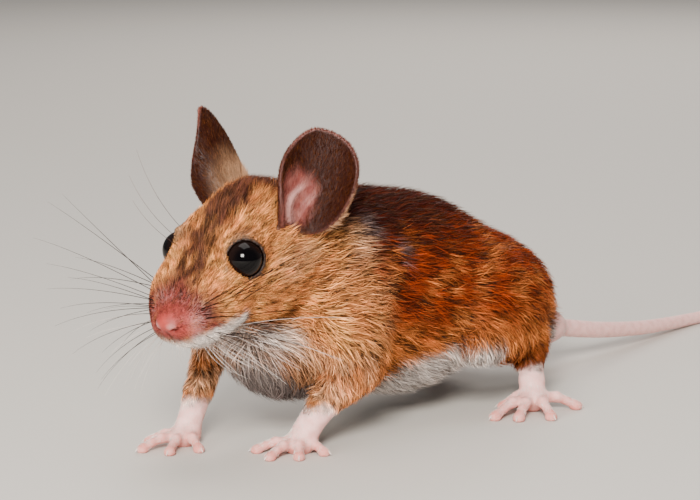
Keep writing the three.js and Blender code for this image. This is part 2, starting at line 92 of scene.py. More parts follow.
@dataclass(frozen=True)
class Frame:
    """A turned and moved set of axes.

    Attributes:
        origin: its origin in the mouse's space.
        turn: its axes as columns.
    """

    origin: Array
    turn: Array

    @classmethod
    def made(cls, origin: Triple, nod: float = 0.0, heading: float = 0.0) -> "Frame":
        """A frame nodded about X and then turned about Z, in degrees."""
        nodded = Matrix.Rotation(math.radians(nod), 3, "X")
        return cls(np.array(origin, float), np.array(Matrix.Rotation(math.radians(heading), 3, "Z") @ nodded))

    def inside(self, p: Array) -> Array:
        """Points given in this frame."""
        return (p - self.origin) @ self.turn

    def outside(self, p: Sequence[float] | Array) -> Array:
        """Points of this frame given in the mouse's space."""
        return np.asarray(p, float) @ self.turn.T + self.origin

    def vector(self, v: Sequence[float] | Array) -> Array:
        """A direction of this frame given in the mouse's space."""
        return np.asarray(v, float) @ self.turn.T


BODY_FRAME = Frame.made((0.0, 0.0, 0.0))
HEAD = Frame.made((2.0, -21.3, 27.9), 21.0, 10.0)
EYE_PLACE = np.array([5.1, -0.4, 0.2])
EYE_RADIUS = 2.55


def eye_place(side: float) -> Array:
    """An eye's centre in the head's frame."""
    return EYE_PLACE * np.array([side, 1.0, 1.0])


# -------- soft shapes as distance fields
@dataclass(frozen=True)
class Lobe:
    """An egg-shaped mass.

    Attributes:
        centre: its middle.
        radii: its half sizes.
        tilt: degrees that it is tilted about X.
        base: the frame that it is given in.
    """

    centre: Triple
    radii: Triple
    tilt: float = 0.0
    base: Frame = BODY_FRAME

    def __call__(self, p: Array) -> Array:
        """Signed distances of points, less than zero inside.

        Args:
            p: the points.

        Returns:
            Distances in millimetres.
        """
        q = Frame.made(self.centre, self.tilt).inside(self.base.inside(p))
        radii = np.array(self.radii)
        near = np.linalg.norm(q / radii, axis=-1)
        slope = np.linalg.norm(q / radii**2, axis=-1)
        return np.where(slope > 1e-9, near * (near - 1.0) / np.maximum(slope, 1e-9), -radii.min())


@dataclass(frozen=True)
class Limb:
    """A round limb.

    Attributes:
        a: its start.
        b: its end.
        ra: radius at the start.
        rb: radius at the end.
        base: the frame that it is given in.
    """

    a: Triple
    b: Triple
    ra: float
    rb: float
    base: Frame = BODY_FRAME

    def __call__(self, p: Array) -> Array:
        """Signed distances of points, less than zero inside.

        Args:
            p: the points.

        Returns:
            Distances in millimetres.
        """
        start, end = self.base.outside(self.a), self.base.outside(self.b)
        axis = end - start
        q = p - start
        t = np.clip(q @ axis / (axis @ axis), 0.0, 1.0)
        return np.linalg.norm(q - t[..., None] * axis, axis=-1) - (self.ra + t * (self.rb - self.ra))


def join(a: Array, b: Array, reach: float) -> Array:
    """The nearer of two distances, with a fillet where they meet."""
    overlap = np.maximum(reach - np.abs(a - b), 0.0) / reach
    return np.minimum(a, b) - overlap * overlap * reach / 4.0


def carve(a: Array, b: Array, reach: float) -> Array:
    """Takes b out of a, with a rounded edge."""
    return -join(-a, b, reach)


def blend(fields: Sequence[Field], reach: float) -> Field:
    """Masses that run into each other.

    Args:
        fields: the masses.
        reach: how far the fillets between them reach.

    Returns:
        The field of all of them.
    """

    def blended(p: Array) -> Array:
        """Distances from the nearest mass, with fillets."""
        near = fields[0](p)
        for each in fields[1:]:
            near = join(near, each(p), reach)
        return near

    return blended


def mirrored(centre: Triple, radii: Triple, base: Frame) -> list[Field]:
    """A pair of lobes on both sides of a frame's middle plane."""
    return [Lobe((side * centre[0], centre[1], centre[2]), radii, base=base) for side in SIDES]


# -------- the body's masses, out to the coat's tips
def head_masses() -> Field:
    """Head without its eyes and ears."""
    return blend(
        [
            Lobe((0, 7, -2.2), (8.2, 10, 7.4), base=HEAD),
            Lobe((0, 8, -0.6), (5.4, 7.4, 7.2), base=HEAD),
            Limb((0, 1, -3.2), (0, -8.8, -4.8), 5.9, 3.0, HEAD),
            Limb((0, 3, -8.2), (0, -6.6, -8), 3.4, 1.5, HEAD),
            *mirrored((2.4, -7.2, -5.2), (2.6, 3.8, 2.9), HEAD),
            *mirrored((4.1, -4.4, -4.3), (3, 4.4, 3.2), HEAD),
            *mirrored((3.7, -3.6, -1.9), (2.5, 4.2, 3), HEAD),
            *mirrored((5, 4, -6.2), (3.6, 6.6, 4.3), HEAD),
            *mirrored((4.4, 1.8, 0.4), (2.6, 4.8, 3.3), HEAD),
        ],
        2.4,
    )


def trunk_masses() -> Field:
    """Breast, ribs, belly, rump and the root of the tail."""
    return blend(
        [
            Lobe((-0.5, -5.5, 14.5), (9, 11.5, 9.2)),
            Lobe((0, 3, 20), (11, 14, 14)),
            Lobe((0, 13.5, 17.6), (12.4, 16.5, 14.8), -4),
            Lobe((0, 27.6, 15.8), (11.9, 16.4, 9.9), -16),
            Limb((0, 36, 10.5), (0, 42.2, 8.5), 5, 3.6),
        ],
        5.0,
    )


NECK = Limb((-0.2, -9.5, 26.5), (0, -1, 22), 9.3, 11.4)
SHANKS = [
    Limb((8.3, -1.8, 11), (6.1, -7.9, 4.4), 3.3, 1.8),
    Limb((-8.4, -12.6, 14.2), (-8.5, -16.4, 4.2), 2.8, 1.7),
    Limb((8.8, 32.4, 9), (10.6, 30.6, 6.2), 2.2, 1.8),
    Limb((-9.8, 37.2, 8.4), (-11, 35.8, 5.8), 2.2, 1.8),
]
SHOULDER = (4.6, 6.4, 7.4)
THIGH = (5.5, 9.6, 7.9)
# each leg's root: its middle, half sizes and tilt, with the start and the radii of the limb to its shank
LEG_ROOTS = (
    ((8, -3, 17.5), SHOULDER, 0, (8, -3.5, 15), (4.2, 3.4)),
    ((-8, -5, 18), SHOULDER, 0, (-8, -7, 17), (4.2, 3)),
    ((8.7, 24.6, 15.2), THIGH, -12, (11, 19.5, 11.3), (3.8, 2.4)),
    ((-8.7, 26, 15.2), THIGH, -12, (-11, 22, 11.3), (3.8, 2.4)),
)

# how deep the coat lies on each mass, and the least and most that counts anywhere
NECK_COAT = 1.9
TRUNK_COAT = 2.0
LEG_COAT = 1.7
SHANK_COAT = 0.9
COAT_LIMITS = (0.12, 2.4)
# how far the fillets between masses reach
FILLET = 3.0
SHANK_FILLET = 2.4
# depth of the coat on the head against Y of its frame
HEAD_COAT = ((-11.5, -9.0, -5.0, 1.0, 8.0, 14.0), (0.1, 0.2, 0.45, 0.75, 1.2, 1.8))


def leg_masses() -> list[Field]:
    """Roots of the four legs, where they run into the trunk."""
    return [
        blend([Lobe(middle, radii, tilt), Limb(top, shank.a, *thick)], FILLET)
        for (middle, radii, tilt, top, thick), shank in zip(LEG_ROOTS, SHANKS)
    ]


def head_depth(p: Array) -> Array:
    """How deep the coat is on the head: least at the nose, most at the nape."""
    return np.interp(HEAD.inside(p)[..., 1], *HEAD_COAT)


@dataclass
class Flesh:
    """The skin's shape as one field: every mass drawn in by the coat that lies on it.

    Attributes:
        parts: smaller forms, such as toes, with the box that each reaches.
    """

    parts: list["Part"] = field(default_factory=list)

    def __post_init__(self) -> None:
        """Makes the masses."""
        self.head = head_masses()
        self.trunk = trunk_masses()
        self.legs = leg_masses()

    def core(self, p: Array, share: float = 1.0) -> Array:
        """Head, neck, trunk and legs, drawn in by a share of the coat's depth.

        Args:
            p: the points.
            share: 1 for the skin and 0 for the coat's outside.

        Returns:
            Signed distances.
        """
        d = self.head(p) + share * head_depth(p)
        d = join(d, NECK(p) + NECK_COAT * share, FILLET)
        d = join(d, self.trunk(p) + TRUNK_COAT * share, FILLET)
        for leg, shank in zip(self.legs, SHANKS):
            d = join(d, leg(p) + LEG_COAT * share, FILLET)
            along = smoothstep(11.0, 5.5, p[..., 2])
            d = join(d, shank(p) + share * (SHANK_COAT - 0.55 * along), SHANK_FILLET)
        return d

    def coat_depth(self, p: Array) -> Array:
        """How far the coat's outside lies over points of the skin."""
        return np.clip(-self.core(p, 0.0), *COAT_LIMITS)

    def __call__(self, p: Array) -> Array:
        """Signed distances from the skin.

        Args:
            p: the points.

        Returns:
            Distances in millimetres, less than zero inside.
        """
        d = self.core(p)
        for part in self.parts:
            near = np.all((p > part.low) & (p < part.high), axis=-1)
            if near.any():
                d[near] = part.apply(d[near], p[near])
        return d

    def slope(self, p: Array, step: float = 0.04) -> Array:
        """Outward unit normals of the field at points."""
        around = np.array([[1, -1, -1], [-1, -1, 1], [-1, 1, -1], [1, 1, 1]], float)
        return unit(sum(corner * self(p + step * corner)[..., None] for corner in around))


@dataclass(frozen=True)
class Part:
    """A small form joined to the flesh, or carved out of it.

    Attributes:
        shape: its field.
        low: lowest corner of where it counts.
        high: highest corner of where it counts.
        reach: how far it runs into what it meets.
        carved: whether it is taken out.
    """

    shape: Field
    low: Array
    high: Array
    reach: float = 0.6
    carved: bool = False

    @classmethod
    def around(
        cls, shape: Field, points: Sequence[Sequence[float]] | Array, margin: float, **how: float
    ) -> "Part":
        """A part whose box holds the points with a margin."""
        p = np.asarray(points, float).reshape(-1, 3)
        return cls(shape, p.min(0) - margin, p.max(0) + margin, **how)

    def apply(self, d: Array, p: Array) -> Array:
        """The distances with this part joined or carved."""
        own = self.shape(p)
        return carve(d, own, self.reach) if self.carved else join(d, own, self.reach)


# -------- ears
OUTER_FOLD = (-0.42, -0.5)
INNER_FOLD = (-0.05, -0.62)


@dataclass(frozen=True)
class Ear:
    """A thin cupped leaf, folded into a funnel at its root.

    Attributes:
        side: 1 for the left ear and -1 for the right.
        size: breadth and length.
        root: where it grows from, in the head's frame.
        facing: degrees that it opens to the side.
        lean: degrees that it leans back and out.
        cups: bending radii of its inner and outer halves.
        heel: how much its inner edge widens to the root.
        flare: how much its outer edge widens to the tip.
        taper: share of its breadth that it loses at the tip.
        thickness: of the leaf where it is thickest.
    """

    side: float
    size: tuple[float, float]
    root: Triple
    facing: float
    lean: tuple[float, float]
    cups: tuple[float, float]
    heel: float
    flare: float = 0.18
    taper: float = 0.0
    thickness: float = 0.62

    def axes(self) -> tuple[Array, Array, Array]:
        """Along, across and opening directions in the head's frame, for a left ear.

        Returns:
            Three unit vectors.
        """
        back, out = (math.radians(v) for v in self.lean)
        level = math.sin(out) ** 2
        along = np.array([math.sin(out), math.sin(back), math.sqrt(1 - level - math.sin(back) ** 2)])
        facing = math.radians(self.facing)
        opening = np.array([math.sin(facing), -math.cos(facing), 0.0])
        opening = unit(opening - along * (opening @ along))
        return along, np.cross(along, opening), opening

    def local(self, p: Array) -> tuple[Array, Array, Array]:
        """Each point's place on the leaf.

        Args:
            p: the points.

        Returns:
            x across from -1 to 1, y up from -1 to 1, and how far the point stands in front of the leaf.
        """
        q = HEAD.inside(p)
        q = np.stack([q[..., 0] * self.side, q[..., 1], q[..., 2]], -1) - np.array(self.root)
        along, across, opening = self.axes()
        height = q @ along / self.size[1]
        c, o = q @ across, q @ opening
        y = 2.0 * height - 1.0
        cup = np.where(c < 0, self.cups[0], self.cups[1]) * (0.55 + 0.45 * np.clip(height, 0.0, 1.2))
        spread = np.where(c < 0, 1 - self.heel * y, 1 + self.flare * y)
        spread = spread * (1.0 - self.taper * np.clip(y + 0.2, 0.0, 1.2) / 1.2)
        angle = np.arctan2(c, cup - o)
        front = cup - np.hypot(c, cup - o)
        x = angle * cup * 2.0 / (self.size[0] * np.maximum(spread, 0.2))
        return x, y, front

    def __call__(self, p: Array) -> Array:
        """Signed distances from the ear's skin.

        Args:
            p: the points.

        Returns:
            Distances in millimetres, less than zero inside.
        """
        x, y, front = self.local(p)
        rim = np.hypot(x, y)
        edge = (rim - 1.0) * 0.5 * self.size[0]
        thick = self.thickness * (0.72 + 0.4 * smoothstep(0.2, -0.9, y)) + 0.06 * smoothstep(0.86, 0.97, rim)
        ridges = self.fold(x, y, OUTER_FOLD, 0.5) + self.fold(x, y, INNER_FOLD, 0.4)
        sheet = np.abs(front) - thick / 2.0 - ridges * (front > 0)
        return np.maximum(sheet, 0.0) + np.maximum(edge, 0.0) * 0.7 + np.minimum(np.maximum(sheet, edge), 0.0)

    def fold(self, x: Array, y: Array, middle: tuple[float, float], height: float) -> Array:
        """A rounded ridge of gristle, low in the ear, that fades out at both ends.

        Args:
            x: places across the leaf.
            y: places up the leaf.
            middle: the ridge's middle.
            height: its height there.

        Returns:
            Heights of the ridge.
        """
        along = (y - middle[1]) / 0.34
        across = (x - middle[0] - 0.18 * along * along) / 0.085
        return height * np.exp(-across * across - along**4)

    def part(self) -> Part:
        """The ear as a part of the flesh.

        Returns:
            The part, in a box that holds the whole leaf.
        """
        along, across, opening = self.axes()
        grid = [
            np.array(self.root) + along * h * self.size[1] + across * c * self.size[0] * 0.75 + opening * o
            for h in (-0.05, 1.02)
            for c in (-1.0, 1.0)
            for o in (-1.5, 7.0)
        ]
        points = HEAD.outside(np.array(grid) * np.array([self.side, 1.0, 1.0]))
        return Part.around(self, points, 0.6, reach=0.8)


EARS = (
    Ear(1.0, (12.6, 13.9), (7.5, 9.1, -1.2), 33.0, (26.6, 7.0), (5.2, 9.4), 0.41),
    Ear(-1.0, (10.9, 15.2), (4.9, 13.0, -1.4), 82.0, (15.2, 27.2), (4.3, 15.6), 0.47, -0.04, 0.38),
)


# -------- feet
@dataclass(frozen=True)
class Foot:
    """A foot with its toes on the floor.

    Attributes:
        ankle: where it leaves its leg.
        down: the way that the leg points there.
        shank: radius at the ankle.
        pad: middle of the palm or sole.
        radii: half sizes of the palm.
        tips: where the toes end on the floor.
        toe: radius of a toe.
    """

    ankle: Triple
    down: Triple
    shank: float
    pad: Triple
    radii: Triple
    tips: tuple[tuple[float, float], ...]
    toe: float

    def toe_points(self, tip: tuple[float, float]) -> list[Array]:
        """The stops of a toe's middle line.

        Args:
            tip: where the toe ends on the floor.

        Returns:
            Start, knuckle, tip and end.
        """
        end = np.array([tip[0], tip[1], 0.66 * self.toe])
        start = np.array(self.pad) + 0.12 * (np.array([tip[0], tip[1], self.pad[2]]) - self.pad)
        knuckle = start + 0.48 * (end - start) + np.array([0, 0, 0.85 * self.toe])
        outward = unit((end - start) * np.array([1, 1, 0]))
        return [start, knuckle, end, end + outward * 0.45 * self.toe]

    def parts(self) -> list[Part]:
        """The palm, the wrist and the toes.

        Returns:
            A part for palm and wrist and one for each toe.
        """
        top, down = np.array(self.ankle), unit(np.array(self.down))
        instep = top + 0.55 * (np.array(self.pad) - top) + 0.3 * down
        low = np.array([self.pad[0], self.pad[1], 0.8 * self.pad[2]])
        wrist = blend(
            [
                Limb(tuple(top - down), tuple(instep), self.shank - 0.15, self.shank - 0.2),
                Limb(tuple(instep), tuple(low), self.shank - 0.2, self.shank - 0.35),
                Lobe(self.pad, tuple(np.array(self.radii) - 0.1)),
            ],
            1.0,
        )
        made = [Part.around(wrist, [top, instep, self.pad], 3.6, reach=1.2)]
        for tip in self.tips:
            start, knuckle, end, nose = self.toe_points(tip)
            middle = 0.5 * (knuckle + end) + np.array([0, 0, 0.08])
            toe = blend(
                [
                    Limb(tuple(start), tuple(knuckle), self.toe * 1.0, self.toe * 0.9),
                    Limb(tuple(knuckle), tuple(middle), self.toe * 0.9, self.toe * 0.68),
                    Limb(tuple(middle), tuple(end), self.toe * 0.68, self.toe * 0.88),
                    Limb(tuple(end), tuple(nose), self.toe * 0.88, self.toe * 0.42),
                    Lobe(tuple(end + np.array([0, 0, -0.1])), (self.toe, self.toe, self.toe * 0.62)),
                ],
                0.35,
            )
            made.append(Part.around(toe, [start, knuckle, end, nose], 1.3, reach=0.5))
        return made


FEET = (
    Foot((6.3, -7.4, 5), (-0.35, -0.65, -1), 1.8, (5.5, -9.9, 1.2), (2.3, 2.4, 1.4),
         ((1.9, -14.3), (5.8, -15.4), (8.4, -12.6), (9.1, -8.7)), 0.72),
    Foot((-8.5, -16.2, 4.8), (0, -0.2, -1), 1.7, (-7.9, -18.6, 1.2), (2.2, 2.4, 1.4),
         ((-11.3, -21.8), (-8.9, -25), (-5.3, -23.3), (-3.6, -19.6)), 0.72),
    Foot((10.2, 31, 7), (0.55, -0.45, -0.8), 1.85, (13.2, 28.2, 1.9), (2.3, 2.5, 1.5),
         ((9.8, 25.8), (12.9, 20.6), (15.6, 22.6), (18.3, 26.4), (16.9, 33.4)), 0.82),
    Foot((-10.9, 36, 6.6), (-0.35, -0.5, -0.8), 1.85, (-13.5, 32.4, 1.7), (2.3, 2.5, 1.5),
         ((-10.2, 29.9), (-12.6, 25.2), (-15.5, 25.6), (-18.3, 29.3), (-18, 35.5)), 0.82),
)


# -------- tail
TAIL_STOPS = np.array([
    (0, 43.2, 8.2), (-0.2, 47.5, 7.1), (-0.5, 53, 5.8), (-1.2, 61, 4.2), (-2.6, 72, 2.5), (-4, 82, 1.5),
    (-4.9, 91, 0.95), (-5, 101, 0.82), (-3, 110, 0.72), (2, 117.5, 0.62), (9, 120.5, 0.52),
])


def smooth_path(stops: Array, steps: int) -> Array:
    """A Catmull-Rom curve through the stops, as evenly spaced points.

    Args:
        stops: where it passes.
        steps: how many points it gets.

    Returns:
        The points, from the first stop to the last.
    """
    padded = np.vstack([2 * stops[0] - stops[1], stops, 2 * stops[-1] - stops[-2]])
    t = np.linspace(0.0, 1.0, 24, endpoint=False)[:, None]
    spans = []
    for a, b, c, d in zip(padded, padded[1:], padded[2:], padded[3:]):
        square, cube = 2 * a - 5 * b + 4 * c - d, 3 * b - a - 3 * c + d
        spans.append(0.5 * (2 * b + (c - a) * t + square * t**2 + cube * t**3))
    dense = np.vstack([*spans, stops[-1:]])
    gone = np.concatenate([[0.0], np.cumsum(np.linalg.norm(np.diff(dense, axis=0), axis=1))])
    at = np.linspace(0.0, gone[-1], steps)
    return np.stack([np.interp(at, gone, dense[:, k]) for k in range(3)], -1)


@dataclass
class Tail:
    """The tail as a chain of short limbs along its path.

    Attributes:
        links: how many limbs it has.
        root: radius at its root, without the flare.
        tip: radius at its tip.
        flare: what it gains where it meets the rump.
    """

    links: int = 44
    root: float = 1.42
    tip: float = 0.6
    flare: float = 1.3

    def __post_init__(self) -> None:
        """Lays the path and sets the radii along it."""
        self.path = smooth_path(TAIL_STOPS, self.links + 1)
        self.share = np.linspace(0.0, 1.0, self.links + 1)
        length = np.linalg.norm(np.diff(self.path, axis=0), axis=1).sum()
        closing = np.sqrt(1.0 - 0.75 * smoothstep(0.97, 1.0, self.share))
        self.radius = (self.root + (self.tip - self.root) * self.share) * closing
        self.radius += self.flare * (1.0 - smoothstep(0.0, 8.0, self.share * length))
        self.path[:, 2] = np.maximum(self.path[:, 2], 0.96 * self.radius)

    def nearest(self, p: Array) -> Array:
        """The number of the path's point that is nearest to each point."""
        return np.argmin(np.stack([np.sum((p - at) ** 2, -1) for at in self.path], -1), -1)

    def heading(self, p: Array) -> Array:
        """The way that the tail runs beside each point."""
        way = unit(np.gradient(self.path, axis=0))
        return way[self.nearest(p)]

    def along(self, p: Array) -> Array:
        """How far along the tail each point lies, in millimetres, and 0 off it.

        Args:
            p: the points.

        Returns:
            Ways along the tail.
        """
        found = np.zeros(len(p))
        on = np.flatnonzero(p[:, 1] > TAIL_STOPS[0][1] - 2.0)
        near = self.nearest(p[on])
        step = np.linalg.norm(self.path[1] - self.path[0])
        way = unit(np.gradient(self.path, axis=0))[near]
        found[on] = near * step + np.sum((p[on] - self.path[near]) * way, -1)
        return found

    def unwrap(self, p: Array) -> Array:
        """Turn round the tail and way along it."""
        away = p - self.path[self.nearest(p)]
        return np.stack([np.arctan2(away[:, 0], away[:, 2]), 0.5 * self.along(p)], -1)

    def parts(self) -> list[Part]:
        """Short limbs, each within its own box.

        Returns:
            A part for each link.
        """
        made = []
        for k in range(self.links):
            a, b = self.path[k], self.path[k + 1]
            limb = Limb(tuple(a), tuple(b), float(self.radius[k]), float(self.radius[k + 1]))
            made.append(Part.around(limb, [a, b], float(self.radius[k]) + 0.9, reach=1.6 if k < 3 else 0.05))
        return made


# -------- face
def eye_axis(side: float) -> Array:
    """The way an eye looks, in the head's frame."""
    return unit(np.array([side * 0.76, -0.54, 0.36]))


@dataclass(frozen=True)
class Lid:
    """The ring of skin round an eye: a torus on the eyeball.

    Attributes:
        side: 1 for the left eye and -1 for the right.
        out: how far it lies out from the eye's middle.
        ring: the torus's larger radius.
        thick: its smaller one.
    """

    side: float
    out: float = 0.86
    ring: float = 2.46
    thick: float = 0.24

    def __call__(self, p: Array) -> Array:
        """Signed distances of points, less than zero inside.

        Args:
            p: the points.

        Returns:
            Distances in millimetres.
        """
        axis = HEAD.vector(eye_axis(self.side))
        q = p - HEAD.outside(eye_place(self.side)) - axis * self.out
        height = q @ axis
        flat = np.linalg.norm(q - height[..., None] * axis, axis=-1)
        return np.hypot(flat - self.ring, height) - self.thick


MOUTH_STOPS = ((0, -10.3, -7.15), (1.7, -8.6, -7.7), (3.0, -5.6, -8.0), (3.9, -3.4, -7.9))


def face_parts() -> list[Part]:
    """Lids, eye sockets, the nose with its nostrils, the cleft lip and the mouth's line.

    Returns:
        Parts to join and to carve, in order.
    """
    made = []
    for side in SIDES:
        eye = HEAD.outside(eye_place(side))
        ball = Lobe(tuple(eye), (EYE_RADIUS + 0.06,) * 3)
        orbit = Lobe(tuple(eye - 0.55 * HEAD.vector(eye_axis(side))), (2.85, 2.85, 2.85))
        made.append(Part.around(orbit, [eye], 4.4, reach=1.4))
        window = Lobe(tuple(eye + 1.6 * HEAD.vector(eye_axis(side))), (2.4, 2.4, 2.4))
        made.append(Part.around(window, [eye], 4.4, reach=0.3, carved=True))
        made.append(Part.around(Lid(side), [eye], 3.9, reach=0.5))
        made.append(Part.around(ball, [eye], 3.9, reach=0.12, carved=True))
    tip = HEAD.outside((0, -11.1, -3.5))
    nose = blend(
        [
            Lobe((0, -11.1, -3.3), (1.35, 1.35, 1.1), base=HEAD),
            *mirrored((0.9, -11, -3.65), (0.78, 1.15, 0.82), HEAD),
        ],
        0.7,
    )
    made.append(Part.around(nose, [tip], 3.0, reach=0.9))
    for side in SIDES:
        hole = blend(
            [
                Lobe((side * 1.15, -12.0, -4.15), (0.36, 0.65, 0.28), base=HEAD),
                Limb((side * 1.3, -11.8, -4.05), (side * 2.0, -11.1, -3.8), 0.22, 0.13, HEAD),
            ],
            0.15,
        )
        made.append(Part.around(hole, [tip], 2.6, reach=0.15, carved=True))
    cleft = Limb((0, -12.4, -4.3), (0, -11.0, -6.3), 0.17, 0.22, HEAD)
    made.append(Part.around(cleft, [HEAD.outside((0, -11.5, -5.2))], 2.2, reach=0.3, carved=True))
    for side in SIDES:
        stops = [(side * x, y, z) for x, y, z in MOUTH_STOPS]
        mouth = blend([Limb(a, b, 0.26, 0.24, HEAD) for a, b in zip(stops, stops[1:])], 0.2)
        made.append(Part.around(mouth, [HEAD.outside(s) for s in stops], 1.0, reach=0.35, carved=True))
    return made


# -------- from a field to a mesh
BLOCKS_AT_ONCE = 600


@dataclass
class Net:
    """A closed quad mesh of a field's zero surface, one vertex in each cell that it crosses.

    Attributes:
        shape: the field.
        low: lowest corner of the grid.
        high: highest corner of the grid.
        cell: the grid's step.
        block: cells along each side of the blocks that are left coarse or worked out in full.
    """

    shape: Flesh
    low: Array
    high: Array
    cell: float
    block: int = 8

    def values(self) -> Array:
        """The field on the grid, worked out in full only in blocks near the surface.

        Returns:
            Distances at the grid's corners.
        """
        n = self.block
        count = np.ceil((self.high - self.low) / (self.cell * n)).astype(int)
        side = self.cell * n
        steps = np.meshgrid(*[np.arange(c) + 0.5 for c in count], indexing="ij")
        middles = np.stack(steps, -1) * side + self.low
        coarse = self.shape(middles.reshape(-1, 3)).reshape(count)
        grid = np.repeat(np.repeat(np.repeat(coarse, n, 0), n, 1), n, 2).astype(np.float32)
        offsets = np.stack(np.meshgrid(*[np.arange(n)] * 3, indexing="ij"), -1) * self.cell
        near = np.argwhere(np.abs(coarse) < side * 1.25)
        for chunk in np.array_split(near, max(1, len(near) // BLOCKS_AT_ONCE)):
            corners = chunk * side + self.low
            points = corners[:, None, None, None, :] + offsets
            found = self.shape(points.reshape(-1, 3)).reshape(points.shape[:-1])
            for (i, j, k), block in zip(chunk * n, found):
                grid[i : i + n, j : j + n, k : k + n] = block
        log.info("grid %s, %d blocks near the surface", grid.shape, len(near))
        return grid

    def mesh(self) -> tuple[Array, Array]:
        """Vertices settled on the surface, and quads facing out.

        Returns:
            Points of the mouse's space, and four vertex numbers for each quad.
        """
        value = self.values()
        inside = value < 0
        strides = np.array([value.shape[1] * value.shape[2], value.shape[2], 1])
        flat = value.ravel()
        cells, spots, quads, flips = [], [], [], []
        for axis in range(3):
            u, v = [(1, 2), (2, 0), (0, 1)][axis]
            lead = [slice(None)] * 3
            trail = [slice(None)] * 3
            lead[axis], trail[axis] = slice(0, -1), slice(1, None)
            crossed = np.argwhere(inside[tuple(lead)] != inside[tuple(trail)])
            at = crossed @ strides
            a, b = flat[at], flat[at + strides[axis]]
            spot = crossed.astype(float)
            spot[:, axis] += a / (a - b)
            around = np.stack([at - strides[u] - strides[v], at - strides[v], at, at - strides[u]], -1)
            cells.append(around.ravel())
            spots.append(np.repeat(spot, 4, 0))
            quads.append(around)
            flips.append(a < 0)
        cells, spots = np.concatenate(cells), np.concatenate(spots)
        _, inverse = np.unique(cells, return_inverse=True)
        count = np.bincount(inverse)
        vertices = np.stack([np.bincount(inverse, spots[:, k]) / count for k in range(3)], -1)
        faces = inverse[: len(cells)].reshape(-1, 4)
        flipped = ~np.concatenate(flips)
        faces[flipped] = faces[flipped][:, ::-1]
        p = vertices * self.cell + self.low
        for _ in range(2):
            step = np.clip(self.shape(p), -0.5 * self.cell, 0.5 * self.cell)
            p = p - 0.9 * step[:, None] * self.shape.slope(p)
        return p, faces


# -------- from arrays to Blender
@dataclass(frozen=True)
class Space:
    """Where the mouse's space lies in the frame.

    Attributes:
        shift: the mouse's origin in the frame, in millimetres.
    """

    shift: Array

    @classmethod
    def found(cls) -> "Space":
        """Reads the place from the left eye, whose middle is known in both.

        Returns:
            The mouse's place.
        """
        low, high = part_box("eye_left")
        middle = (np.array(low) + np.array(high)) / 2.0 / MM
        return cls(middle - HEAD.outside(EYE_PLACE))

    def metres(self, p: Array) -> Array:
        """Points of the mouse's space in the frame."""
        return (p + self.shift) * MM


def linked(name: str, data: bpy.types.ID) -> bpy.types.Object:
    """Makes an object and puts it in the scene.

    Args:
        name: the object's name.
        data: its mesh, light or camera.

    Returns:
        The object.
    """
    obj = bpy.data.objects.new(name, data)
    bpy.context.scene.collection.objects.link(obj)
    return obj


def mesh_object(name: str, points: Array, faces: Array, smooth: bool = True) -> bpy.types.Object:
    """A plain mesh object from arrays.

    Args:
        name: the object's name.
        points: its vertices, in metres.
        faces: vertex numbers, as many for each face.
        smooth: whether its faces are shaded smooth.

    Returns:
        The object, linked to the scene.
    """
    mesh = bpy.data.meshes.new(name)
    sides = faces.shape[1]
    mesh.vertices.add(len(points))
    mesh.vertices.foreach_set("co", points.astype(np.float32).ravel())
    mesh.loops.add(faces.size)
    mesh.loops.foreach_set("vertex_index", faces.astype(np.int32).ravel())
    mesh.polygons.add(len(faces))
    mesh.polygons.foreach_set("loop_start", np.arange(0, faces.size, sides, dtype=np.int32))
    mesh.polygons.foreach_set("use_smooth", np.full(len(faces), smooth))
    mesh.update(calc_edges=True)
    return linked(name, mesh)


def paint(obj: bpy.types.Object, colours: Array) -> None:
    """Stores a linear colour for each vertex.

    Args:
        obj: the object.
        colours: the colours.
    """
    layer = obj.data.color_attributes.new(TINT_LAYER, "FLOAT_COLOR", "POINT")
    full = np.ones((len(colours), 4), np.float32)
    full[:, : colours.shape[1]] = colours
    layer.data.foreach_set("color", full.ravel())


def linear(*srgb: int) -> Array:
    """A colour given as three bytes, in linear light."""
    c = np.array(srgb, float) / 255.0
    return np.where(c <= 0.04045, c / 12.92, ((c + 0.055) / 1.055) ** 2.4)


# -------- markings
class Tint(Enum):
    """The colours of coat and skin, each as three bytes."""

    TAN = (200, 128, 76)
    GOLD = (242, 176, 104)
    ORANGE = (212, 130, 66)
    RUST = (132, 46, 10)
    DEEP = (54, 12, 4)
    DARK = (38, 20, 14)
    MASK = (72, 38, 34)
    SLATE = (104, 92, 92)
    BUFF = (222, 172, 132)
    CREAM = (244, 232, 224)
    GREY = (168, 152, 146)
    UNDER = (70, 52, 46)
    PINK = (246, 194, 188)
    ROSE = (158, 58, 52)
    BLUSH = (214, 136, 126)
    MAUVE = (120, 52, 48)
    EAR = (40, 10, 3)

    def rgb(self) -> Array:
        """The colour in linear light."""
        return linear(*self.value)


def ripple(p: Array, scale: float, seed: int) -> Array:
    """Smooth noise from -1 to 1, as a sum of waves in fixed random directions.

    Args:
        p: points to take it at.
        scale: its longest wave.
        seed: of the directions.

    Returns:
        Values at the points.
    """
    rng = np.random.default_rng(seed)
    total = np.zeros(p.shape[:-1])
    for octave in range(3):
        way = unit(rng.normal(size=(5, 3))) * (2.0 * math.pi / scale) * 1.7**octave
        total += np.sin(p @ way.T + rng.uniform(0, 2 * math.pi, 5)).sum(-1) * 0.6**octave
    return np.tanh(total / 3.0)


def bump_at(q: Array, middle: Triple, radii: Triple) -> Array:
    """A smooth patch: 1 in the middle of an egg and 0 past its radii."""
    return smoothstep(1.0, 0.35, np.linalg.norm((q - np.array(middle)) / np.array(radii), axis=-1))


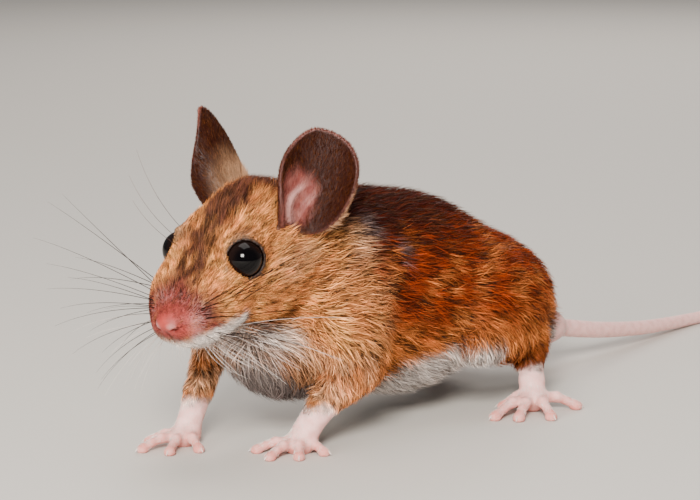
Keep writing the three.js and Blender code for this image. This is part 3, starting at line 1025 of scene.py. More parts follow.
@dataclass(frozen=True)
class Patch:
    """A soft-edged patch of one colour, the same on both sides of the mouse.

    Attributes:
        tint: its colour.
        strength: how far it covers what is under it.
        middle: its middle on the left side.
        radii: its half sizes.
        light: how bright it is beside its tint.
    """

    tint: Tint
    strength: float
    middle: Triple
    radii: Triple
    light: float = 1.0

    def over(self, colour: Array, q: Array) -> Array:
        """The colours with the patch laid over them where it reaches the points."""
        return mix(colour, self.tint.rgb() * self.light, self.strength * bump_at(q, self.middle, self.radii))


def both_sides(p: Array) -> Array:
    """Points of the right side moved to the left one."""
    return np.stack([np.abs(p[..., 0]), p[..., 1], p[..., 2]], -1)


BROW = Patch(Tint.SLATE, 0.5, (5.2, -0.6, 3.0), (2.0, 2.6, 1.4))
CHEEK = Patch(Tint.BUFF, 0.5, (7.5, 5.5, -3.5), (4.0, 5.5, 3.2))
EAR_FOOT = Patch(Tint.DARK, 0.45, (6.4, 9.5, 2.4), (1.6, 2.8, 3.0))
NAPE = Patch(Tint.BUFF, 0.75, (7.6, -3.6, 28.0), (4.4, 2.8, 3.6))
NECK_BLOTS = (
    Patch(Tint.SLATE, 0.8, (6.8, -1.0, 29.0), (3.4, 2.0, 2.8), 0.8),
    Patch(Tint.SLATE, 0.8, (8.6, -5.0, 24.8), (3.0, 1.9, 3.0), 0.8),
    Patch(Tint.SLATE, 0.8, (8.8, 3.4, 25.8), (3.0, 1.3, 2.6), 0.8),
)
RUMP = Patch(Tint.ORANGE, 0.35, (0.0, 38.0, 13.0), (11.0, 7.0, 9.0))
# pale spots on the nostril pads: a painted highlight of the wet nose
NOSTRIL_HIGHLIGHT = Patch(Tint.PINK, 0.45, (1.0, -11.7, -3.5), (0.9, 1.3, 0.7), 0.6)

# heights between which the body ends and the head starts
HEAD_RISE = (13.0, 17.0)
# edges of the white: its height on the body against Y, half the breadth between the legs against Y, and its
# height on the head against Y of the head's frame
WHITE_EDGE = ((-14, -6, 0, 6, 14, 24, 34), (14.5, 12.0, 9.6, 11.2, 12.2, 12.0, 9.5))
LEG_INSIDES = ((-12, -4, 20), (3.6, 5.4, 5.4))
LIP_EDGE = ((-11, -9.5, -8, -6.5, -5, -3.5, -1, 3.5, 8), (-5.8, -5, -4.6, -4.8, -5.8, -7.4, -10, -12.8, -15))


@dataclass(frozen=True)
class Markings:
    """The pattern that skin and coat share."""

    def on_head(self, p: Array) -> Array:
        """How far each point belongs to the head."""
        return smoothstep(17.0, 9.0, HEAD.inside(p)[..., 1]) * smoothstep(*HEAD_RISE, p[..., 2])

    def white(self, p: Array) -> Array:
        """How far each point belongs to the white underside, lips, chin and throat.

        Args:
            p: the points.

        Returns:
            Shares from 0 to 1.
        """
        x, y, z = split(p)
        _, head_y, head_z = split(HEAD.inside(p))
        beside = np.maximum(smoothstep(5.0, 2.0, y), smoothstep(21.0, 24.0, y))
        legs = smoothstep(0.0, 1.8, np.abs(x) - np.interp(y, *LEG_INSIDES)) * beside
        edge = mix(np.interp(y, *WHITE_EDGE)[..., None], np.array([6.0]), legs)[..., 0]
        edge = edge + 0.5 * ripple(p, 4.0, 3)
        under = smoothstep(0.9, -0.9, z - edge) * (1.0 - self.on_head(p))
        chin = smoothstep(0.7, -0.7, head_z - np.interp(head_y, *LIP_EDGE) - 0.5 * ripple(p, 2.6, 4))
        chin = chin * smoothstep(7.0, 2.0, head_y) * smoothstep(*HEAD_RISE, z)
        throat = smoothstep(5.4, 2.2, np.abs(x - 0.4)) * smoothstep(-3.0, -8.0, y)
        throat = throat * smoothstep(20.0, 15.0, z) * (0.5 + 0.4 * ripple(p, 2.6, 8))
        return np.maximum(np.maximum(under, chin), throat)

    def feet(self, p: Array) -> Array:
        """How far each point belongs to the pink feet.

        Args:
            p: the points.

        Returns:
            Shares from 0 to 1.
        """
        x, y, z = split(p)
        belly = smoothstep(7.5, 6.0, np.abs(x)) * smoothstep(-6.0, -2.0, y) * (y < 34)
        feet = smoothstep(6.8, 4.6, z - 0.35 * ripple(p, 2.0, 5))
        return feet * smoothstep(40.0, 38.0, np.abs(y)) * (1 - belly)

    def tail(self, p: Array) -> Array:
        """How far each point belongs to the tail."""
        return smoothstep(42.0, 45.5, p[..., 1])

    def nose(self, p: Array) -> Array:
        """How far each point belongs to the bare nose pad."""
        return bump_at(HEAD.inside(p), (0, -12.2, -3.5), (2.1, 2.2, 2.0))

    def bare(self, p: Array) -> Array:
        """How far each point is bare skin."""
        return np.maximum(np.maximum(self.nose(p), self.feet(p)), self.tail(p))

    def face(self, p: Array) -> Array:
        """The head's colour: golden, with a dark stripe down its middle and a rosy muzzle.

        Args:
            p: the points.

        Returns:
            Linear colours.
        """
        q = HEAD.inside(p)
        x, y, z = split(q)
        gold = np.clip(0.42 + 0.5 * ripple(p, 4.0, 12), 0, 1)
        colour = mix(Tint.TAN.rgb(), Tint.GOLD.rgb(), gold)
        crown = smoothstep(2.0, 10.0, y) * smoothstep(-1.0, 3.0, z)
        colour = mix(colour, Tint.RUST.rgb(), 0.55 * crown)
        wander = 0.9 * ripple(p * np.array([0.4, 1, 1]), 6.0, 15)
        above = smoothstep(-3.4, -1.4, z - 0.3 * np.minimum(y, 0.0))
        stripe = smoothstep(3.2, 1.4, np.abs(x + wander)) * above
        broken = (0.9 + 0.7 * smoothstep(0.0, 3.0, y)) * (1.0 + 0.45 * ripple(p, 2.4, 16))
        colour = mix(colour, Tint.MASK.rgb(), np.clip(stripe * broken, 0, 0.95))
        for patch in (BROW, CHEEK, EAR_FOOT):
            colour = patch.over(colour, both_sides(q))
        rosy = smoothstep(-5.2, -8.6, y + 0.25 * np.abs(x)) * smoothstep(-7.0, -4.6, z)
        rosy = np.clip(rosy * (1.1 + 0.4 * ripple(p, 1.6, 17)), 0, 1)
        return mix(colour, Tint.MAUVE.rgb(), rosy)

    def body(self, p: Array) -> Array:
        """The body's colour: deep brown-red above, rust on the flanks, orange low down, buff at the neck.

        Args:
            p: the points.

        Returns:
            Linear colours.
        """
        _, y, z = split(p)
        height = z + 1.2 * ripple(p, 6.0, 11)
        colour = mix(Tint.RUST.rgb(), Tint.DEEP.rgb(), 0.95 * smoothstep(23.0, 30.0, height))
        colour = mix(colour, Tint.ORANGE.rgb(), 0.85 * smoothstep(19.0, 10.0, height))
        slanted = p @ np.array([[1, 0, 0], [0, 0.7, -0.5], [0, 0.35, 1.0]])
        fair = smoothstep(0.1, 0.8, ripple(slanted, 5.0, 23)) * smoothstep(30.0, 24.0, height)
        colour = mix(colour, Tint.ORANGE.rgb(), 0.55 * fair)
        blot = smoothstep(0.15, 0.75, ripple(slanted, 3.8, 18)) * smoothstep(8.0, 13.0, z)
        colour = mix(colour, Tint.DEEP.rgb(), 0.6 * blot)
        neck = smoothstep(2.0, -8.0, y) * smoothstep(29.0, 22.0, z)
        colour = mix(colour, Tint.BUFF.rgb(), np.clip(neck * (0.5 + 0.5 * ripple(p, 3.6, 19)), 0, 0.95))
        for patch in (NAPE, *NECK_BLOTS, RUMP):
            colour = patch.over(colour, both_sides(p))
        thigh = smoothstep(21.0, 26.0, y) * smoothstep(13.0, 9.0, z)
        return mix(colour, Tint.RUST.rgb() * 0.45, 0.85 * thigh)

    def coat(self, p: Array) -> Array:
        """The coat's colour seen from afar, with painted shade on the chest between the forelegs and on the
        white underside behind them.

        Args:
            p: the points.

        Returns:
            Linear colours.
        """
        x, y, z = split(p)
        colour = mix(self.body(p), self.face(p), self.on_head(p))
        # painted shade on the chest between the forelegs: the white there turns grey and every colour darkens
        # by up to two thirds
        chest = smoothstep(-5.0, -9.0, y) * smoothstep(16.5, 12.0, z) * smoothstep(8.0, 5.5, np.abs(x))
        pale = mix(Tint.CREAM.rgb(), Tint.GREY.rgb(), np.clip(0.1 + 0.3 * ripple(p, 3.4, 13) + chest, 0, 1))
        # painted shade on the underside: the white behind the forelegs is dimmed by a third
        belly = smoothstep(0.0, 5.0, y)
        colour = mix(colour, pale * (1.0 - 0.35 * belly)[..., None], self.white(p))
        return colour * (1.0 - 0.64 * chest)[..., None]

    def ear(self, ear: Ear, x: Array, y: Array, front: Array, p: Array) -> Array:
        """An ear's skin: brown all over, with a pink hollow inside, a painted highlight along the ridge of
        its fold, and a pale rim that takes a painted highlight towards the top.

        Args:
            ear: the ear.
            x: places across its leaf.
            y: places up its leaf.
            front: how far the points stand in front of it.
            p: the points in the mouse's space.

        Returns:
            Linear colours.
        """
        hollow = np.hypot((x + 0.34) / 0.62, (y + 0.36) / 0.62) + 0.1 * ripple(p, 2.0, 7)
        inner = smoothstep(1.05, 0.62, hollow) * (front > -0.05)
        pink = mix(Tint.BLUSH.rgb(), Tint.ROSE.rgb(), np.clip(0.45 + 0.4 * ripple(p, 1.8, 9), 0, 1)) * 0.44
        # lighter pink along the ridge of the outer fold: a painted highlight
        pink = mix(pink, Tint.PINK.rgb(), np.minimum(ear.fold(x, y, OUTER_FOLD, 1.0), 0.3))
        hide = mix(Tint.EAR.rgb(), pink, 0.94 * inner)
        base = smoothstep(0.3, -0.5, y) * smoothstep(-0.7, 0.1, x) * (front < 0.05)
        hide = mix(hide, Tint.BUFF.rgb() * 0.8, 0.7 * base * (0.8 + 0.3 * ripple(p, 2.2, 21)))
        # the pale rim: partly its own paler edge, partly a painted highlight that grows towards the top
        rim = smoothstep(0.96, 1.0, np.hypot(x, y)) * (0.1 + 0.3 * smoothstep(0.5, 0.95, y))
        return mix(hide, Tint.BLUSH.rgb() * 0.85, rim)

    def skin(self, p: Array) -> Array:
        """The skin's colour under the coat, and where it is bare, with a painted highlight on the nostril
        pads and painted shadow in the grooves under the nose.

        Args:
            p: the points.

        Returns:
            Linear colours.
        """
        q = HEAD.inside(p)
        under = 0.5 * self.coat(p) + 0.06 * Tint.UNDER.rgb()
        rosy = smoothstep(6.5, 2.5, np.linalg.norm(q - [0, -11.6, -3.6], axis=-1))
        # the bare pink turns deeper towards the floor, with tone that differs at random
        low = smoothstep(3.6, 0.5, p[..., 2]) * (self.tail(p) < 0.5)
        blush_share = np.clip(0.85 * low + 0.1 + 0.25 * ripple(p, 1.6, 6), 0, 1)
        pink = mix(Tint.PINK.rgb(), Tint.BLUSH.rgb(), blush_share)
        pink = mix(pink, Tint.ROSE.rgb() * (1.0 + 0.12 * ripple(p, 0.9, 10))[..., None], rosy)
        colour = mix(under, pink, np.maximum(self.bare(p), 0.8 * rosy * smoothstep(-5.8, -4.6, q[..., 2])))
        shadow = bump_at(q, (0.0, -11.9, -4.8), (0.45, 1.3, 1.0))
        # painted highlight on the nostril pads
        colour = NOSTRIL_HIGHLIGHT.over(colour, both_sides(q))
        shadow = np.maximum(shadow, bump_at(both_sides(q), (1.4, -11.8, -4.2), (0.8, 1.3, 0.5)))
        colour = mix(colour, Tint.ROSE.rgb() * 0.35, 0.85 * shadow)
        for side in SIDES:
            away = np.linalg.norm(q - eye_place(side), axis=-1)
            colour = mix(colour, Tint.DARK.rgb() * 0.6, smoothstep(EYE_RADIUS + 0.6, EYE_RADIUS + 0.3, away))
        for ear in EARS:
            x, y, front = ear.local(p)
            on = smoothstep(1.35, 1.15, np.hypot(x, y)) * smoothstep(1.9, 1.5, np.abs(front))
            colour = mix(colour, self.ear(ear, x, y, front, p), on * smoothstep(-1.25, -0.9, y))
        return colour


MARKINGS = Markings()


# -------- materials
def wire(tree: bpy.types.NodeTree, *pairs: tuple[bpy.types.NodeSocket, bpy.types.NodeSocket]) -> None:
    """Links each output to its input."""
    for start, end in pairs:
        tree.links.new(start, end)


def add(tree: bpy.types.NodeTree, kind: str, **settings: object) -> bpy.types.Node:
    """Adds a node to a tree.

    Args:
        tree: the tree.
        kind: the node's type.
        settings: properties of the node and their values.

    Returns:
        The node.
    """
    node = tree.nodes.new(kind)
    for name, value in settings.items():
        setattr(node, name, value)
    return node


def rings_group() -> bpy.types.NodeTree:
    """A shader group that gives the height of the tail's rings from the way along it.

    Returns:
        The group, made once.
    """
    name = "tail_rings"
    if bpy.data.node_groups.get(name):
        return bpy.data.node_groups[name]
    group = bpy.data.node_groups.new(name, "ShaderNodeTree")
    group.interface.new_socket("Along", in_out="INPUT", socket_type="NodeSocketFloat")
    group.interface.new_socket("Spacing", in_out="INPUT", socket_type="NodeSocketFloat").default_value = 0.42
    group.interface.new_socket("Height", in_out="OUTPUT", socket_type="NodeSocketFloat")
    given, result = add(group, "NodeGroupInput"), add(group, "NodeGroupOutput")
    share = add(group, "ShaderNodeMath", operation="DIVIDE")
    wave = add(group, "ShaderNodeMath", operation="PINGPONG")
    wave.inputs[1].default_value = 0.5
    wire(
        group,
        (given.outputs["Along"], share.inputs[0]),
        (given.outputs["Spacing"], share.inputs[1]),
        (share.outputs[0], wave.inputs[0]),
        (wave.outputs[0], result.inputs["Height"]),
    )
    return group


# how far red, green and blue light reach under a surface, and the height of its relief, in metres
LIGHT_REACH = (0.0012, 0.0005, 0.0004)
RELIEF = 0.0001


@dataclass(frozen=True)
class Finish:
    """A surface's finish.

    Attributes:
        name: its material's name.
        roughness: of the surface.
        specular: strength of its plain shine.
        subsurface: how much light passes under it.
        bump: strength of its fine relief.
        grain: size of that relief's noise, per metre.
        spread: darkest and lightest that the noise turns its colour.
        ringed: whether the tail's rings are added to its relief.
    """

    name: str
    roughness: float
    specular: float = 0.4
    subsurface: float = 0.0
    bump: float = 0.0
    grain: float = 6000.0
    spread: tuple[float, float] = (0.86, 1.12)
    ringed: bool = False

    def material(self) -> bpy.types.Material:
        """Builds the material.

        Returns:
            A material whose colour comes from the layer and the noise.
        """
        made = bpy.data.materials.new(self.name)
        made.use_nodes = True
        tree = made.node_tree
        shader = tree.nodes["Principled BSDF"]
        tint = add(tree, "ShaderNodeVertexColor", layer_name=TINT_LAYER)
        coords, noise = add(tree, "ShaderNodeTexCoord"), add(tree, "ShaderNodeTexNoise")
        noise.inputs["Scale"].default_value = self.grain
        noise.inputs["Detail"].default_value = 3.0
        shade = add(tree, "ShaderNodeMapRange")
        shade.inputs["To Min"].default_value, shade.inputs["To Max"].default_value = self.spread
        tinted = add(tree, "ShaderNodeVectorMath", operation="SCALE")
        wire(
            tree,
            (coords.outputs["Object"], noise.inputs["Vector"]),
            (noise.outputs["Fac"], shade.inputs["Value"]),
            (tint.outputs["Color"], tinted.inputs[0]),
            (shade.outputs["Result"], tinted.inputs["Scale"]),
            (tinted.outputs["Vector"], shader.inputs["Base Color"]),
        )
        settings = {
            "Roughness": self.roughness,
            "Specular IOR Level": self.specular,
            "Subsurface Weight": self.subsurface,
            "Subsurface Radius": LIGHT_REACH,
            "Subsurface Scale": 1.0,
        }
        for socket, value in settings.items():
            shader.inputs[socket].default_value = value
        if self.bump > 0:
            self.relief(tree, noise.outputs["Fac"])
        return made

    def relief(self, tree: bpy.types.NodeTree, height: bpy.types.NodeSocket) -> None:
        """Adds the fine relief to the material's normal.

        Args:
            tree: the material's nodes.
            height: the output that gives the noise.
        """
        if self.ringed:
            along = add(tree, "ShaderNodeAttribute", attribute_name=ALONG_LAYER)
            rings = add(tree, "ShaderNodeGroup", node_tree=rings_group())
            total = add(tree, "ShaderNodeMath", operation="ADD")
            wire(
                tree,
                (along.outputs["Fac"], rings.inputs["Along"]),
                (height, total.inputs[0]),
                (rings.outputs["Height"], total.inputs[1]),
            )
            height = total.outputs[0]
        bump = add(tree, "ShaderNodeBump")
        bump.inputs["Strength"].default_value = self.bump
        bump.inputs["Distance"].default_value = RELIEF
        wire(
            tree,
            (height, bump.inputs["Height"]),
            (bump.outputs["Normal"], tree.nodes["Principled BSDF"].inputs["Normal"]),
        )


SKIN = Finish("mouse_skin", 0.5, 0.32, subsurface=0.12, bump=0.5, grain=7000.0, ringed=True)
FUR = Finish("mouse_fur", 0.5, 0.09, grain=900.0, spread=(0.8, 1.2))
HAIR = Finish("mouse_whisker", 0.45, 0.15, grain=700.0)
HORN = Finish("mouse_claw", 0.3, 0.5, subsurface=0.1, grain=2500.0)


def give(obj: bpy.types.Object, finish: Finish, slot: str, *replaced: str) -> bpy.types.Object:
    """Sets a piece's material and its body, and hides the nodes that it stands for.

    Args:
        obj: the piece.
        finish: its finish.
        slot: not used.
        replaced: nodes that it stands for.

    Returns:
        The piece.
    """
    obj.data.materials.clear()
    obj.data.materials.append(bpy.data.materials.get(finish.name) or finish.material())
    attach(obj, BODY)
    if replaced:
        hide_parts(*replaced)
    log.info("%s: %d faces", obj.name, len(obj.data.polygons))
    return obj


# -------- the skin
CORNERS = ("fore", "left"), ("fore", "right"), ("hind", "left"), ("hind", "right")
FLESH_NODES = (
    "head", "nose", "ear_left", "ear_right", "neck", "trunk",
    *(f"{end}{part}_{side}" for end, side in CORNERS for part in ("leg", "foot")),
    "tail_base", "tail_middle", "tail_tip",
)


# corners of the space that the skin is looked for in, and its least height over the floor
SKIN_BOX = ((-21.0, -34.0, -0.6), (21.0, 123.0, 46.5))
FLOOR_GAP = 0.02


@dataclass
class Skin:
    """The one skin under the coat, bare at nose, ears, feet and tail.

    Attributes:
        space: where the mouse lies in the frame.
        cell: step of the grid that it is found on.
        most: most triangles in it, past which what the coat hides is thinned.
    """

    space: Space
    cell: float = 0.27
    most: int = 190000

    def __post_init__(self) -> None:
        """Gathers the flesh and its small forms."""
        self.tail = Tail()
        parts = [ear.part() for ear in EARS]
        parts += [part for foot in FEET for part in foot.parts()]
        parts += self.tail.parts() + face_parts()
        self.flesh = Flesh(parts)

    def thinned(self, obj: bpy.types.Object, points: Array) -> bpy.types.Object:
        """The mesh with fewer triangles where the coat hides it.

        Args:
            obj: the skin.
            points: its vertices in the mouse's space.

        Returns:
            The same object with its new mesh.
        """
        count = 2 * len(obj.data.polygons)
        log.info("skin starts with %d triangles", count)
        if count <= self.most:
            return obj
        hidden = obj.vertex_groups.new(name="hidden")
        covered = (self.flesh.coat_depth(points) > 0.7) & (MARKINGS.bare(points) < 0.1)
        hidden.add(np.flatnonzero(covered).tolist(), 1.0, "REPLACE")
        hidden.add(np.flatnonzero(~covered).tolist(), 0.04, "REPLACE")
        thin = obj.modifiers.new("thin", "DECIMATE")
        thin.ratio = self.most / count
        thin.vertex_group = hidden.name
        thin.vertex_group_factor = 4.0
        made = bpy.data.meshes.new_from_object(obj.evaluated_get(bpy.context.evaluated_depsgraph_get()))
        obj.modifiers.clear()
        obj.vertex_groups.clear()
        obj.data = made
        made.name = obj.name
        return obj

    def build(self) -> bpy.types.Object:
        """Makes the mesh, paints it and gives it its finish.

        Returns:
            The skin.
        """
        points, faces = Net(self.flesh, *(np.array(corner) for corner in SKIN_BOX), self.cell).mesh()
        points[:, 2] = np.maximum(points[:, 2], FLOOR_GAP)
        self.points, self.faces = points, faces
        obj = self.thinned(mesh_object("skin", self.space.metres(points), faces), points)
        kept = np.empty(3 * len(obj.data.vertices), np.float32)
        obj.data.vertices.foreach_get("co", kept)
        kept = kept.reshape(-1, 3) / MM - self.space.shift
        paint(obj, MARKINGS.skin(kept))
        layer = obj.data.attributes.new(ALONG_LAYER, "FLOAT", "POINT")
        layer.data.foreach_set("value", self.tail.along(kept).astype(np.float32))
        return give(obj, SKIN, "skin", *FLESH_NODES)


# -------- the coat
class Region(Enum):
    """Where a tuft grows: each region has an unwrap of its own."""

    HEAD = 0
    TRUNK = 1
    FORE_LEFT = 2
    FORE_RIGHT = 3
    HIND_LEFT = 4
    HIND_RIGHT = 5
    EAR_LEFT = 6
    EAR_RIGHT = 7
    FEET = 8
    TAIL = 9


EAR_REGIONS = (Region.EAR_LEFT.value, Region.EAR_RIGHT.value)
LEG_REGIONS = tuple(range(Region.FORE_LEFT.value, Region.HIND_RIGHT.value + 1))
BODY_REGIONS = (Region.TRUNK.value, *LEG_REGIONS)
FINE_REGIONS = (Region.FEET.value, Region.TAIL.value)


@dataclass
class Roots:
    """Where tufts start.

    Attributes:
        p: places on the skin.
        n: outward normals there.
        region: region numbers.
    """

    p: Array
    n: Array
    region: Array

    def only(self, chosen: Array) -> "Roots":
        """The chosen roots."""
        return Roots(self.p[chosen], self.n[chosen], self.region[chosen])


@dataclass
class Tufts:
    """Tufts of one kind.

    Attributes:
        roots: where they start.
        points: places along each tuft, one list for each ring and the tip.
        width: how wide each tuft is.
        colours: linear colours along each tuft, from its root to its tip.
    """

    roots: Roots
    points: list[Array]
    width: Array
    colours: list[Array]

    def only(self, chosen: Array) -> "Tufts":
        """The chosen tufts."""
        points, colours = ([each[chosen] for each in lists] for lists in (self.points, self.colours))
        return Tufts(self.roots.only(chosen), points, self.width[chosen], colours)


@dataclass(frozen=True)
class Spike:
    """The shape of one tuft.

    Attributes:
        rings: how thick it is at each ring from its root on, before its tip.
    """

    rings: tuple[float, ...]

    def faces(self) -> Array:
        """Triangles of a closed three-sided spike.

        Returns:
            Three corner numbers for each; the tip is the last corner.
        """
        made = [(0, 2, 1)]
        last = 3 * (len(self.rings) - 1)
        for start in range(0, last, 3):
            for a in range(3):
                b = (a + 1) % 3
                made += [(start + a, start + b, start + 3 + b), (start + a, start + 3 + b, start + 3 + a)]
        made += [(last + a, last + (a + 1) % 3, last + 3) for a in range(3)]
        return np.array(made)

    def patch(self) -> Array:
        """Each corner's place on a tuft's patch of the unwrap.

        Returns:
            Places from -1 to 1.
        """
        count = len(self.rings)
        rows = [((a - 1) * 0.9, ring / count * 2 - 1) for ring in range(count) for a in range(3)]
        return np.array([*rows, (0.0, 1.0)])


BENT = Spike((1.0, 0.8))
STRAIGHT = Spike((1.0,))

# where the fur of the head lies away from, in the head's frame
MUZZLE_TIP = np.array([0.0, -13.5, -3.5])
# tufts for each square millimetre on the head against Y of its frame, and on the legs against height
HEAD_DENSITY = ((-11, -8, -3, 4, 12), (120.0, 105.0, 86.0, 66.0, 44.0))
LEG_DENSITY = ((4, 9, 15), (34.0, 22.0, 16.0))
# length of a tuft against the coat's depth, the most on a leg against height, and width against length
TUFT_LENGTH = ((0.1, 0.3, 0.6, 1.2, 2.0), (0.6, 1.1, 1.6, 2.3, 3.7))
LEG_LENGTH = ((4.5, 9, 14), (0.9, 2.4, 4.4))
TUFT_WIDTH = ((0.6, 1.5, 3.0, 5.5), (0.05, 0.085, 0.095, 0.11))
# regions of the shortest tufts, with their length and how high they stand
SHORTEST = ((EAR_REGIONS, 1.0, 0.2), (FINE_REGIONS[:1], 0.85, 0.14), (FINE_REGIONS[1:], 0.6, 0.13))
# each step of a tuft's path: its share of the length, and the share of the height that is reached with it
BENT_STEPS = ((0.45, 0.68), (0.55, 1.0))
STRAIGHT_STEPS = ((1.0, 1.0),)
# the tufts under the long ones: how many, how long and how high beside what they would be alone
UNDER_SHARE, UNDER_LENGTH, UNDER_RISE = 0.6, 0.7, 0.72
EAR_WIDTH = 0.085
# the bare ring round an eyeball
EYE_ROOM = 0.3
# half of a tuft's patch on the unwrap
PATCH_HALF = 0.0015


@dataclass
class Coat:
    """The fur: short tapered tufts that follow the lie of the coat.

    Attributes:
        skin: the skin that it grows on.
        long_tufts: how many bent tufts there are on trunk and legs.
        short_tufts: how many straight ones there are, on head, ears, feet and tail and under the long ones.
        per_piece: most triangles in one piece.
        seed: of all that is random.
    """

    skin: Skin
    long_tufts: int = 76000
    short_tufts: int = 176000
    per_piece: int = 190000
    seed: int = 4620

    def __post_init__(self) -> None:
        """Starts the random draws."""
        self.rng = np.random.default_rng(self.seed)
        self.flesh = self.skin.flesh

    def regions(self, p: Array) -> Array:
        """The region of each point.

        Args:
            p: points on the skin.

        Returns:
            Region numbers.
        """
        flesh = self.flesh
        near = [flesh.head(p) + head_depth(p), np.minimum(NECK(p) + NECK_COAT, flesh.trunk(p) + TRUNK_COAT)]
        for leg, shank in zip(flesh.legs, SHANKS):
            near.append(np.minimum(leg(p) + LEG_COAT, shank(p) + SHANK_COAT))
        region = np.argmin(np.stack(near, -1), -1)
        region = np.where(MARKINGS.feet(p) > 0.5, Region.FEET.value, region)
        region = np.where(MARKINGS.tail(p) > 0.5, Region.TAIL.value, region)
        for ear, number in zip(EARS, EAR_REGIONS):
            x, y, front = ear.local(p)
            on = (np.hypot(x, y) < 1.12) & (np.abs(front) < 1.4) & (flesh.core(p) > 0.12)
            region = np.where(on, number, region)
        return region

    def density(self, p: Array, n: Array, region: Array) -> Array:
        """Tufts for each square millimetre, before they are scaled to the whole number.

        Args:
            p: points on the skin.
            n: normals there.
            region: their regions.

        Returns:
            Densities.
        """
        q = HEAD.inside(p)
        head = np.interp(q[..., 1], *HEAD_DENSITY)
        made = np.where(region == Region.HEAD.value, head * (1.0 - MARKINGS.nose(p)), 15.0)
        made = np.where(np.isin(region, LEG_REGIONS), np.interp(p[..., 2], *LEG_DENSITY), made)
        made = np.where(region == Region.FEET.value, 30.0 * smoothstep(-0.1, 0.5, n[..., 2]) + 4.0, made)
        made = np.where((region == Region.FEET.value) & (p[..., 2] < 0.5), 0.0, made)
        made = np.where(region == Region.TAIL.value, 10.0, made)
        for ear, number in zip(EARS, EAR_REGIONS):
            x, y, front = ear.local(p)
            own = np.where(front > 0, 40.0 - 24.0 * (np.hypot(x + 0.34, y + 0.36) < 0.5), 50.0)
            made = np.where(region == number, own, made)
        for side in SIDES:
            away = np.linalg.norm(p - HEAD.outside(eye_place(side)), axis=-1)
            made = np.where(away < EYE_RADIUS + EYE_ROOM, 0.0, made)
        return made

    def roots(self, count: int, short: bool) -> Roots:
        """Spreads the roots of one kind of tuft over the skin.

        Args:
            count: how many.
            short: whether the tufts are the short ones.

        Returns:
            The roots.
        """
        corners = self.skin.points[self.skin.faces]
        middle = corners.mean(1)
        normal = np.cross(corners[:, 2] - corners[:, 0], corners[:, 3] - corners[:, 1])
        area = 0.5 * np.linalg.norm(normal, axis=-1)
        region = self.regions(middle)
        on_body = np.isin(region, BODY_REGIONS)
        share = np.where(on_body, UNDER_SHARE, 1.0) if short else np.where(on_body, 1.0, 0.0)
        weight = area * self.density(middle, unit(normal), region) * share
        log.info("coat wants %d tufts and gets %d", int(weight.sum()), count)
        chance = np.cumsum(weight) / weight.sum()
        pick = np.searchsorted(chance, (np.arange(count) + self.rng.random(count)) / count)
        pick = np.minimum(pick, len(middle) - 1)
        s, t = self.rng.random((2, count, 1))
        c = corners[pick]
        p = (c[:, 0] * (1 - s) + c[:, 1] * s) * (1 - t) + (c[:, 3] * (1 - s) + c[:, 2] * s) * t
        return Roots(p, self.flesh.slope(p), region[pick])

    def lie(self, p: Array, region: Array) -> Array:
        """The way that the fur lies, before it is laid flat on the skin.

        Args:
            p: roots of the tufts.
            region: their regions.

        Returns:
            Directions.
        """
        q = HEAD.inside(p)
        back = HEAD.vector(unit(q - MUZZLE_TIP))
        on_head = smoothstep(17.0, 8.0, q[..., 1]) * smoothstep(12.0, 17.0, p[..., 2])
        chest = smoothstep(4.0, -8.0, p[..., 1]) * smoothstep(24.0, 14.0, p[..., 2])
        trunk = mix(np.array([0.0, 1.0, -0.36]), np.array([0.0, 0.35, -1.0]), chest)
        made = mix(trunk, back, on_head)
        legs = np.isin(region, LEG_REGIONS) * smoothstep(20.0, 10.0, p[..., 2])
        made = mix(made, np.array([0.0, 0.3, -1.0]), legs)
        feet = [np.array(foot.ankle) * np.array([1, 1, 0.6]) for foot in FEET]
        nearest = np.argmin(np.stack([np.linalg.norm(p - foot, axis=-1) for foot in feet], -1), -1)
        out = p - np.array(feet)[nearest]
        made = np.where((region == Region.FEET.value)[:, None], out, made)
        made = np.where((region == Region.TAIL.value)[:, None], self.skin.tail.heading(p), made)
        for ear, number in zip(EARS, EAR_REGIONS):
            x, _, _ = ear.local(p)
            along, across, _ = ear.axes()
            way = HEAD.vector((along + across * x[..., None] * 0.7) * np.array([ear.side, 1, 1]))
            made = np.where((region == number)[..., None], way, made)
        return made

    def build(self) -> None:
        """Grows both kinds of tufts and makes the pieces."""
        made = [self.grown(self.long_tufts, False), self.grown(self.short_tufts, True)]
        for name, spike, tufts in zip(("coat", "under"), (BENT, STRAIGHT), made):
            self.pieces(name, spike, tufts)

    def brush(self, p: Array) -> Array:
        """How far each point belongs to the brush of pale hair behind an ear's root.

        Args:
            p: the points.

        Returns:
            Shares from 0 to 1.
        """
        made = np.zeros(len(p))
        for ear in EARS:
            x, y, front = ear.local(p)
            own = smoothstep(0.5, 0.1, np.hypot(x - 0.55, y + 0.65)) * (front < 0.1) * (front > -1.4)
            made = np.maximum(made, own * np.clip(0.5 + 0.7 * ripple(p, 1.3, 53), 0.0, 1.0))
        return made

